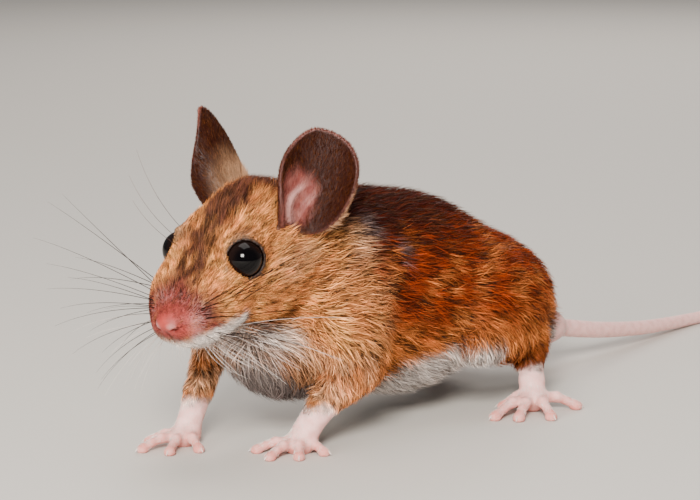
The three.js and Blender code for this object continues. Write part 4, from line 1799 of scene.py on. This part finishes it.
    def sizes(self, roots: Roots) -> tuple[Array, Array, Array]:
        """Length, height over the skin and width of each tuft.

        Args:
            roots: where the tufts start.

        Returns:
            The three measures in millimetres.
        """
        p, region, rng = roots.p, roots.region, self.rng
        depth, count = self.flesh.coat_depth(p), len(p)
        on_leg, on_ear = np.isin(region, LEG_REGIONS), np.isin(region, EAR_REGIONS)
        length = np.interp(depth, *TUFT_LENGTH)
        length = np.where(on_leg, np.minimum(length, np.interp(p[:, 2], *LEG_LENGTH)), length)
        rise = depth * (1.0 + 0.16 * ripple(p, 1.5, 50))
        for numbers, longest, highest in SHORTEST:
            own = np.isin(region, numbers)
            length, rise = np.where(own, longest, length), np.where(own, highest, rise)
        tall = self.brush(p) * on_ear
        length = (length + 1.9 * tall) * rng.uniform(0.7, 1.25, count)
        rise = rise * rng.uniform(0.5, 1.06, count) + 0.9 * tall
        for ear, number in zip(EARS, EAR_REGIONS):
            x, y, _ = ear.local(p)
            shorter = length * (1.0 - 0.55 * smoothstep(0.8, 1.0, np.hypot(x, y)))
            length = np.where(region == number, shorter, length)
        for side in SIDES:
            q = HEAD.inside(p) - eye_place(side)
            room = np.linalg.norm(q, axis=-1) - EYE_RADIUS - 0.1
            shorter = np.minimum(length, np.maximum(room, EYE_ROOM))
            length = np.where((q[:, 1] < 0.8) & (room < 3.0), shorter, length)
        return length, rise, np.where(on_ear, EAR_WIDTH, np.interp(length, *TUFT_WIDTH))

    def grown(self, count: int, short: bool) -> Tufts:
        """Grows one kind of tuft.

        Args:
            count: how many tufts.
            short: whether they are the short ones.

        Returns:
            The tufts.
        """
        roots = self.roots(count, short)
        p, n = roots.p, roots.n
        length, rise, width = self.sizes(roots)
        under = short & np.isin(roots.region, BODY_REGIONS)
        length = np.where(under, UNDER_LENGTH * length, length)
        rise = np.where(under, UNDER_RISE * rise, rise)
        sway = np.stack([ripple(p, 3.6, 20 + k) for k in range(3)], -1) * 0.3
        sway += np.stack([ripple(p, 1.1, 30 + k) for k in range(3)], -1) * 0.22
        sway += self.rng.normal(size=(count, 3)) * 0.16
        way = unit(self.lie(p, roots.region))
        points = [p - 0.12 * n]
        at, normal = p, n
        for share, height in STRAIGHT_STEPS if short else BENT_STEPS:
            g = way + sway * (0.6 if height < 1.0 else 1.1)
            g = unit(g - normal * np.sum(g * normal, -1, keepdims=True))
            at = at + g * (length * share)[:, None]
            normal = self.flesh.slope(at)
            at = at + normal * np.clip(rise * height - self.flesh(at), -1.5, 1.5)[:, None]
            points.append(at)
        colours = self.colours(roots, way, np.where(under | (not short), 1.0, 0.3))
        return Tufts(roots, points, width, colours)

    def pieces(self, kind: str, spike: Spike, tufts: Tufts) -> None:
        """Sorts the tufts into pieces by region and place, and makes each one.

        Args:
            kind: how the pieces' names begin.
            spike: the shape of the tufts.
            tufts: the tufts.
        """
        roots = tufts.roots
        place = np.where(roots.region == Region.HEAD.value, HEAD.inside(roots.p)[:, 1], roots.p[:, 1])
        most = self.per_piece // len(spike.faces())
        for region in Region:
            own = np.flatnonzero(roots.region == region.value)
            if not len(own):
                continue
            own = own[np.argsort(place[own], kind="stable")]
            chunks = np.array_split(own, math.ceil(len(own) / most))
            for number, chunk in enumerate(chunks):
                name = f"{kind}_{region.name.lower()}" + (f"_{number + 1}" if len(chunks) > 1 else "")
                self.piece(name, spike, region, tufts.only(chunk))

    def colours(self, roots: Roots, way: Array, shade: Array) -> list[Array]:
        """Colours at each tuft's root, middle and tip.

        Args:
            roots: where the tufts start.
            way: the way that each one lies.
            shade: how dark each root is.

        Returns:
            Three lists of linear colours.
        """
        p, region = roots.p, roots.region
        rng, count = self.rng, len(p)
        main = MARKINGS.coat(p)
        white = MARKINGS.white(p)
        streak = ripple(p - 0.78 * way * np.sum(p * way, -1, keepdims=True), 0.9, 51)
        ahead = HEAD.inside(p) - MUZZLE_TIP
        fanned = ripple(unit(ahead) * 17.0 + 0.22 * np.linalg.norm(ahead, axis=-1, keepdims=True), 0.9, 52)
        streak = np.where(region == Region.HEAD.value, 0.4 * streak + 0.8 * fanned, streak)
        top = smoothstep(12.0, 26.0, p[:, 2])
        ticking = (0.22 + 0.1 * top - 0.34 * streak) * (1.0 - 0.85 * white)
        dark = rng.random(count) < ticking
        gold = (rng.random(count) < 0.3 - 0.25 * streak) & ~dark & (white < 0.5)
        main = main * (1.0 + 0.72 * streak)[:, None] * rng.uniform(0.4, 1.6, (count, 1))
        tip = np.where(gold[:, None], main * 0.5 + 0.95 * Tint.GOLD.rgb() * (0.12 + main), main)
        middle = np.where(dark[:, None], Tint.DARK.rgb() + 0.12 * main, main)
        tip = np.where(dark[:, None], Tint.DARK.rgb(), tip)
        root = (1.0 - 0.7 * shade[:, None]) * middle + 0.08 * shade[:, None] * Tint.UNDER.rgb()
        made = [root, middle, tip]
        ear = MARKINGS.skin(p) * rng.uniform(0.4, 1.3, (count, 1))
        ear = ear + 0.14 * Tint.ORANGE.rgb() * rng.random((count, 1)) ** 4
        ear = mix(ear, Tint.BUFF.rgb() * rng.uniform(0.4, 1.1, (count, 1)), 0.7 * self.brush(p))
        fine = Tint.CREAM.rgb() * rng.uniform(0.7, 1.0, (count, 1))
        on_ear, on_fine = (np.isin(region, numbers)[:, None] for numbers in (EAR_REGIONS, FINE_REGIONS))
        for k, share in enumerate((0.9, 1.0, 1.25)):
            made[k] = np.where(on_fine, fine, np.where(on_ear, ear * share, made[k]))
        return made

    def unwrap(self, region: Region, p: Array) -> Array:
        """Each root's place on an unwrap of its region: turns round its axis against length.

        Args:
            region: the region.
            p: roots of the tufts.

        Returns:
            Places from 0 to 1.
        """
        if region is Region.HEAD:
            q = HEAD.inside(p)
            flat = np.stack([np.arctan2(q[:, 0], q[:, 2] + 3.5) * 6.0, q[:, 1]], -1)
        elif region in (Region.EAR_LEFT, Region.EAR_RIGHT):
            x, y, front = EARS[region.value - Region.EAR_LEFT.value].local(p)
            flat = np.stack([x + np.where(front > 0, 2.6, 0.0), y], -1)
        elif region is Region.TRUNK:
            flat = np.stack([np.arctan2(p[:, 0], p[:, 2] - 17.0) * 11.0, p[:, 1]], -1)
        elif region is Region.FEET:
            flat = p[:, :2]
        elif region is Region.TAIL:
            flat = self.skin.tail.unwrap(p)
        else:
            shank = SHANKS[region.value - Region.FORE_LEFT.value]
            flat = np.stack([np.arctan2(p[:, 0] - shank.a[0], p[:, 1] - shank.a[1]) * 4.0, p[:, 2]], -1)
        low, high = flat.min(0), flat.max(0)
        return 0.01 + 0.98 * (flat - low) / np.maximum(high - low, 1e-6)

    def piece(self, name: str, spike: Spike, region: Region, tufts: Tufts) -> None:
        """Makes one piece of spikes, each with its rings and a tip.

        Args:
            name: the piece's name.
            spike: the shape of its tufts.
            region: the region that they grow on.
            tufts: the tufts.
        """
        points, count = tufts.points, len(tufts.width)
        ahead = unit(points[-1] - points[0])
        side = unit(np.cross(ahead, self.rng.normal(size=(count, 3))))
        over = np.cross(ahead, side)
        corners, tints = [], []
        for at, thick, tint in zip(points, spike.rings, tufts.colours):
            for turn in range(3):
                a = 2.0 * math.pi * turn / 3.0
                radial = side * math.cos(a) + over * math.sin(a)
                corners.append(at + radial * (0.5 * thick * tufts.width)[:, None])
                tints.append(tint)
        corners.append(points[-1])
        tints.append(tufts.colours[-1])
        vertices = np.stack(corners, 1).reshape(-1, 3)
        pattern = spike.faces()
        faces = (np.arange(count)[:, None, None] * len(corners) + pattern).reshape(-1, 3)
        obj = mesh_object(name, self.skin.space.metres(vertices), faces, smooth=False)
        paint(obj, np.stack(tints, 1).reshape(-1, 3))
        spot = self.unwrap(region, tufts.roots.p)
        uv = (spot[:, None, :] + PATCH_HALF * spike.patch()).reshape(-1, 2)
        layer = obj.data.uv_layers.new(name="OFBake")
        layer.data.foreach_set("uv", uv[faces.ravel()].astype(np.float32).ravel())
        give(obj, FUR, "coat")


# -------- whiskers and claws
def strand_group() -> bpy.types.NodeTree:
    """A Geometry Nodes group that turns edges with a radius at each point into tapered round strands.

    Returns:
        The group.
    """
    group = bpy.data.node_groups.new("strands", "GeometryNodeTree")
    group.interface.new_socket("Geometry", in_out="INPUT", socket_type="NodeSocketGeometry")
    group.interface.new_socket("Sides", in_out="INPUT", socket_type="NodeSocketInt").default_value = 5
    group.interface.new_socket("Material", in_out="INPUT", socket_type="NodeSocketMaterial")
    group.interface.new_socket("Geometry", in_out="OUTPUT", socket_type="NodeSocketGeometry")
    given, result = add(group, "NodeGroupInput"), add(group, "NodeGroupOutput")
    curve = add(group, "GeometryNodeMeshToCurve")
    radius = add(group, "GeometryNodeInputNamedAttribute", data_type="FLOAT")
    radius.inputs["Name"].default_value = THICK_LAYER
    circle = add(group, "GeometryNodeCurvePrimitiveCircle")
    circle.inputs["Radius"].default_value = 1.0
    sweep = add(group, "GeometryNodeCurveToMesh")
    sweep.inputs["Fill Caps"].default_value = True
    sized = add(group, "GeometryNodeSetCurveRadius")
    real, finish = add(group, "GeometryNodeRealizeInstances"), add(group, "GeometryNodeSetMaterial")
    wire(
        group,
        (given.outputs["Geometry"], curve.inputs["Mesh"]),
        (curve.outputs["Curve"], sized.inputs["Curve"]),
        (radius.outputs["Attribute"], sized.inputs["Radius"]),
        (given.outputs["Sides"], circle.inputs["Resolution"]),
        (sized.outputs["Curve"], sweep.inputs["Curve"]),
        (circle.outputs["Curve"], sweep.inputs["Profile Curve"]),
        (sweep.outputs["Mesh"], real.inputs["Geometry"]),
        (real.outputs["Geometry"], finish.inputs["Geometry"]),
        (given.outputs["Material"], finish.inputs["Material"]),
        (finish.outputs["Geometry"], result.inputs["Geometry"]),
    )
    if "Scale" in sweep.inputs:
        wire(group, (radius.outputs["Attribute"], sweep.inputs["Scale"]))
    return group


@dataclass(frozen=True)
class Strand:
    """One hair or claw.

    Attributes:
        path: its middle line in the mouse's space.
        thick: its radius at the root and at the tip.
        tints: its colours at the root and at the tip.
    """

    path: Array
    thick: tuple[float, float]
    tints: tuple[Array, Array]


@dataclass(frozen=True)
class Strands:
    """A piece made of many strands.

    Attributes:
        name: the piece's name.
        space: where the mouse lies in the frame.
        finish: its finish.
        slot: a slot name that is handed on to give.
        sides: how many sides each strand has.
    """

    name: str
    space: Space
    finish: Finish
    slot: str
    sides: int = 5

    def build(self, strands: Sequence[Strand]) -> bpy.types.Object:
        """Makes the piece.

        Args:
            strands: its hairs or claws.

        Returns:
            The piece.
        """
        points = np.vstack([strand.path for strand in strands])
        thick, tints, edges, start = [], [], [], 0
        for strand in strands:
            share = np.linspace(0.0, 1.0, len(strand.path))
            thick.append(strand.thick[0] + (strand.thick[1] - strand.thick[0]) * share)
            tints.append(mix(strand.tints[0], strand.tints[1], share))
            edges += [(start + k, start + k + 1) for k in range(len(share) - 1)]
            start += len(share)
        mesh = bpy.data.meshes.new(self.name)
        mesh.from_pydata(self.space.metres(points).tolist(), edges, [])
        layer = mesh.attributes.new(THICK_LAYER, "FLOAT", "POINT")
        layer.data.foreach_set("value", np.concatenate(thick) * MM)
        obj = linked(self.name, mesh)
        paint(obj, np.vstack(tints))
        material = bpy.data.materials.get(self.finish.name) or self.finish.material()
        group = bpy.data.node_groups.get("strands") or strand_group()
        swept = obj.modifiers.new("strands", "NODES")
        swept.node_group = group
        given = {"Sides": self.sides, "Material": material}
        for item in group.interface.items_tree:
            if item.in_out == "INPUT" and item.name in given:
                swept[item.identifier] = given[item.name]
        made = bpy.data.meshes.new_from_object(obj.evaluated_get(bpy.context.evaluated_depsgraph_get()))
        obj.modifiers.clear()
        obj.data = made
        made.name = self.name
        made.polygons.foreach_set("use_smooth", np.ones(len(made.polygons), bool))
        return give(obj, self.finish, self.slot)


@dataclass
class Whiskers:
    """Whiskers of the muzzle in rows, with shorter ones at the brows and under the chin.

    Attributes:
        skin: the skin that they grow from.
        rows: degrees that each row rises, from the top one down.
        pale: the chance in each row that a whisker is pale.
        columns: whiskers in a row.
        longest: length of the longest on the left and on the right.
        turns: degrees that the rearmost and the foremost of a row turn ahead, on the left and on the right.
        seed: of all that is random.
    """

    skin: Skin
    rows: tuple[float, ...] = (27.0, 12.0, -3.0, -18.0, -33.0)
    pale: tuple[float, ...] = (0.0, 0.0, 0.2, 0.7, 1.0)
    columns: int = 7
    longest: tuple[float, float] = (18.0, 27.0)
    turns: tuple[tuple[float, float], ...] = ((-50.0, 14.0), (-8.0, 44.0))
    seed: int = 77

    def __post_init__(self) -> None:
        """Starts the random draws."""
        self.rng = np.random.default_rng(self.seed)

    def surface(self, q: Triple) -> Array:
        """The skin's point nearest to a place in the head's frame.

        Args:
            q: the place.

        Returns:
            The point, in the mouse's space.
        """
        p = HEAD.outside(q)[None]
        for _ in range(8):
            p = p - self.skin.flesh(p)[:, None] * self.skin.flesh.slope(p)
        return p[0]

    def arc(self, root: Array, way: Array, droop: Array, length: float, steps: int = 12) -> Array:
        """A path that starts along `way` and bends towards `droop`."""
        t = np.linspace(0.0, 1.0, steps)[:, None]
        return root + (way * t + droop * t * t) * length - 0.25 * way

    def muzzle(self, side: float) -> list[Strand]:
        """The long whiskers of one side.

        Args:
            side: 1 for the left and -1 for the right.

        Returns:
            The whiskers.
        """
        made = []
        longest = self.longest[SIDES.index(side)]
        back, ahead = self.turns[SIDES.index(side)]
        for row, lift in enumerate(self.rows):
            for column in range(self.columns):
                share = column / (self.columns - 1)
                q = (side * (4.6 - 1.7 * share), -4.6 - 4.4 * share, -3.1 - 0.85 * row - 0.5 * share)
                turn = math.radians(back + (ahead - back) * share + self.rng.normal() * 5.0)
                rise = math.radians(lift + self.rng.normal() * 6.0)
                level = math.cos(rise)
                way = np.array([side * math.cos(turn) * level, -math.sin(turn) * level, math.sin(rise)])
                length = longest * (1.0 - 0.62 * share**1.2) * (1.0 - 0.07 * row)
                length *= self.rng.uniform(0.75, 1.08)
                droop = np.array([-0.04 * side, 0.12, -0.24])
                pale = self.rng.random() < self.pale[row]
                dark = (Tint.DARK.rgb() * 0.3, Tint.DARK.rgb() * 0.6)
                tints = (Tint.GREY.rgb(), Tint.CREAM.rgb()) if pale else dark
                thick = 0.032 if pale else 0.06 - 0.014 * share
                path = self.arc(self.surface(q), HEAD.vector(way), HEAD.vector(droop), length)
                made.append(Strand(path, (thick, 0.009), tints))
        return made

    def small(self, side: float) -> list[Strand]:
        """Brow hairs, and pale hairs under the lip and chin.

        Args:
            side: 1 for the left and -1 for the right.

        Returns:
            The hairs.
        """
        made = []
        for k, (x, y, z) in enumerate(((3.6, -2.6, 2.6), (4.4, -1.6, 3.2), (5.0, 0.4, 3.4))):
            way = unit(np.array([side * 0.75, -0.35 + 0.2 * k, 0.75]))
            droop, length = HEAD.vector((0, 0.3, 0.05)), 8.5 + 1.5 * k
            path = self.arc(self.surface((side * x, y, z)), HEAD.vector(way), droop, length)
            made.append(Strand(path, (0.035, 0.01), (Tint.DARK.rgb(), Tint.MASK.rgb())))
        for k in range(14):
            x, y = self.rng.uniform(0.4, 3.2), self.rng.uniform(-9.0, -3.5)
            out, ahead = 0.3 + 0.5 * self.rng.random(), -0.25 + 0.3 * self.rng.random()
            way = unit(np.array([side * out, ahead, -0.9]))
            path = self.arc(self.surface((side * x, y, -8.4)), HEAD.vector(way), HEAD.vector((0, 0.35, 0.1)),
                            self.rng.uniform(3.5, 8.5))
            made.append(Strand(path, (0.022, 0.007), (Tint.CREAM.rgb(), Tint.CREAM.rgb())))
        return made

    def build(self) -> None:
        """Makes one piece for each side."""
        for side, name in zip(SIDES, ("whiskers_left", "whiskers_right")):
            Strands(name, self.skin.space, HAIR, "coat").build(self.muzzle(side) + self.small(side))


@dataclass(frozen=True)
class Claws:
    """The claws of all four feet.

    Attributes:
        space: where the mouse lies in the frame.
        thick: a claw's radius at its root and at its tip.
        start: how far out and how high over its toe's end it starts, in radii of the toe.
        length: how far it reaches out from there, in the same measure.
        drop: how far its tip comes down, in the same measure.
        sides: how many sides it has.
    """

    space: Space
    thick: tuple[float, float] = (0.24, 0.035)
    start: tuple[float, float] = (0.35, 0.42)
    length: float = 1.15
    drop: float = 0.75
    sides: int = 7

    def build(self) -> None:
        """Makes one piece for each foot."""
        tints = (Tint.BLUSH.rgb() * 0.8, Tint.CREAM.rgb() * 0.85)
        t = np.linspace(0.0, 1.0, 7)[:, None]
        for foot, (end_name, side) in zip(FEET, CORNERS):
            strands = []
            for tip in foot.tips:
                start, _, end, _ = foot.toe_points(tip)
                outward = unit((end - start) * np.array([1, 1, 0]))
                lift = np.array([0, 0, 1.0]) * (self.start[1] - self.drop * t * t) * foot.toe
                reach = outward * (self.start[0] + self.length * t) * foot.toe + lift
                strands.append(Strand(end + reach, self.thick, tints))
            Strands(f"claws_{end_name}_{side}", self.space, HORN, "skin", self.sides).build(strands)


# -------- eyes
@dataclass(frozen=True)
class Eyes:
    """Two wet black eyeballs.

    Attributes:
        space: where the mouse lies in the frame.
        segments: faces round an eyeball.
        rings: rings of vertices between its poles.
    """

    space: Space
    segments: int = 48
    rings: int = 23

    def material(self) -> bpy.types.Material:
        """Glossy black with a faint brown iris towards the lids.

        Returns:
            The material, which takes its colour from the colour layer.
        """
        made = bpy.data.materials.new("mouse_eye")
        made.use_nodes = True
        tree = made.node_tree
        shader = tree.nodes["Principled BSDF"]
        tint = add(tree, "ShaderNodeVertexColor", layer_name=TINT_LAYER)
        wire(tree, (tint.outputs["Color"], shader.inputs["Base Color"]))
        shader.inputs["Roughness"].default_value = 0.03
        shader.inputs["Specular IOR Level"].default_value = 0.2
        return made

    def ball(self) -> tuple[Array, Array]:
        """A ball of radius one, whose last two points are its poles.

        Returns:
            Its points and its triangles.
        """
        n = self.segments
        turns = np.linspace(0, 2 * math.pi, n, endpoint=False)
        u, v = np.meshgrid(turns, np.linspace(0, math.pi, self.rings + 2)[1:-1])
        points = np.stack([np.sin(v) * np.cos(u), np.sin(v) * np.sin(u), np.cos(v)], -1).reshape(-1, 3)
        here = np.arange(n)
        after = (here + 1) % n
        rows = np.arange(self.rings - 1)[:, None] * n
        quads = np.stack([rows + here, rows + n + here, rows + n + after, rows + after], -1).reshape(-1, 4)
        poles, last = self.rings * n, (self.rings - 1) * n
        caps = [
            np.stack([np.full(n, poles), here, after], -1),
            np.stack([np.full(n, poles + 1), last + after, last + here], -1),
        ]
        triangles = np.vstack([quads[:, [0, 1, 2]], quads[:, [0, 2, 3]], *caps])
        return np.vstack([points, [[0, 0, 1], [0, 0, -1]]]), triangles

    def build(self) -> None:
        """Makes both eyes."""
        finish = self.material()
        ball, triangles = self.ball()
        for side, node in zip(SIDES, ("eye_left", "eye_right")):
            axis = HEAD.vector(eye_axis(side))
            turn = np.array(Vector(axis).to_track_quat("Z", "Y").to_matrix())
            points = ball @ turn.T * EYE_RADIUS + HEAD.outside(eye_place(side))
            obj = mesh_object(node.replace("eye", "eyeball"), self.space.metres(points), triangles)
            iris = smoothstep(0.9, 0.62, ball[:, 2])
            paint(obj, mix(linear(3, 2, 3), linear(20, 11, 9), iris))
            obj.data.materials.append(finish)
            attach(obj, BODY)
            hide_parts(node)
            log.info("%s: %d faces", obj.name, len(triangles))


# -------- studio
def aimed(obj: bpy.types.Object, place: Vector, way: Vector) -> bpy.types.Object:
    """Sets a camera or a light at a place, looking one way.

    Args:
        obj: the object.
        place: where it stands, in metres.
        way: the way it looks.

    Returns:
        The object.
    """
    obj.location = place
    obj.rotation_mode = "QUATERNION"
    obj.rotation_quaternion = way.to_track_quat("-Z", "Y")
    return obj


@dataclass(frozen=True)
class Lamp:
    """A soft area light aimed at the mouse.

    Attributes:
        name: its name.
        place: where it stands in the frame, in metres.
        size: its side in metres.
        power: its watts.
        colour: its colour.
        glossy: whether it is seen in wet and glossy surfaces.
    """

    name: str
    place: Triple
    size: float
    power: float
    colour: Triple
    glossy: bool = True

    def build(self, aim: Array) -> None:
        """Makes the light.

        Args:
            aim: where it points, in metres.
        """
        data = bpy.data.lights.new(self.name, "AREA")
        data.shape, data.size, data.energy, data.color = "SQUARE", self.size, self.power, self.colour
        place = Vector(self.place)
        aimed(linked(self.name, data), place, Vector(aim) - place).visible_glossy = self.glossy


@dataclass(frozen=True)
class Studio:
    """Camera, floor and lights.

    Attributes:
        space: where the mouse lies in the frame.
        azimuth: degrees that the camera stands to the left of the way that the mouse faces.
        elevation: degrees that it looks down.
        distance: from its aim, in millimetres.
        aim: the middle of the picture, in the mouse's space.
        lens: its focal length.
    """

    space: Space
    azimuth: float = 46.0
    elevation: float = 11.0
    distance: float = 300.0
    aim: Triple = (5.0, 0.0, 26.0)
    lens: float = 115.0

    def camera(self) -> None:
        """Sets the camera a little above the mouse, before its left shoulder."""
        a, e = math.radians(self.azimuth), math.radians(self.elevation)
        back = np.array([math.sin(a) * math.cos(e), -math.cos(a) * math.cos(e), math.sin(e)])
        data = bpy.data.cameras.new("camera")
        data.lens, data.sensor_width = self.lens, 36.0
        data.clip_start, data.clip_end = 0.01, 20.0
        place = Vector(self.space.metres(np.array(self.aim) + back * self.distance))
        bpy.context.scene.camera = aimed(linked("camera", data), place, Vector(-back))

    def floor(self) -> None:
        """A plain pale floor."""
        corners = np.array([[-4, -4, 0], [4, -4, 0], [4, 4, 0], [-4, 4, 0]], float)
        obj = mesh_object("floor", corners, np.array([[0, 1, 2, 3]]), smooth=False)
        pale = bpy.data.materials.new("floor")
        pale.use_nodes = True
        shader = pale.node_tree.nodes["Principled BSDF"]
        shader.inputs["Base Color"].default_value = (0.56, 0.53, 0.49, 1)
        shader.inputs["Roughness"].default_value = 0.85
        obj.data.materials.append(pale)

    def lights(self) -> None:
        """A soft key from above, a weak fill before the face, a top light and a rim."""
        aim = self.space.metres(np.array([0.0, 5.0, 18.0]))
        Lamp("key", (0.33, -0.42, 0.32), 0.16, 7.0, (1.0, 0.95, 0.88)).build(aim)
        Lamp("fill", (0.12, -0.55, 0.12), 0.25, 2.4, (1.0, 0.96, 0.9), False).build(aim)
        Lamp("top", (0.0, 0.0, 0.6), 0.4, 1.7, (1.0, 0.97, 0.94)).build(aim)
        Lamp("rim", (-0.35, 0.45, 0.4), 0.3, 2.4, (1.0, 0.94, 0.88)).build(aim)
        world = bpy.data.worlds.new("studio")
        world.use_nodes = True
        world.node_tree.nodes["Background"].inputs["Color"].default_value = (0.8, 0.82, 0.86, 1)
        world.node_tree.nodes["Background"].inputs["Strength"].default_value = 0.22
        bpy.context.scene.world = world

    def build(self) -> None:
        """Sets it all up."""
        self.camera()
        self.floor()
        self.lights()


def main() -> None:
    """Builds the mouse and its studio."""
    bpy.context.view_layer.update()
    space = Space.found()
    Studio(space).build()
    skin = Skin(space)
    skin.build()
    Eyes(space).build()
    Coat(skin).build()
    Whiskers(skin).build()
    Claws(space).build()
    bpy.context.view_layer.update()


if __name__ == "__main__":
    main()
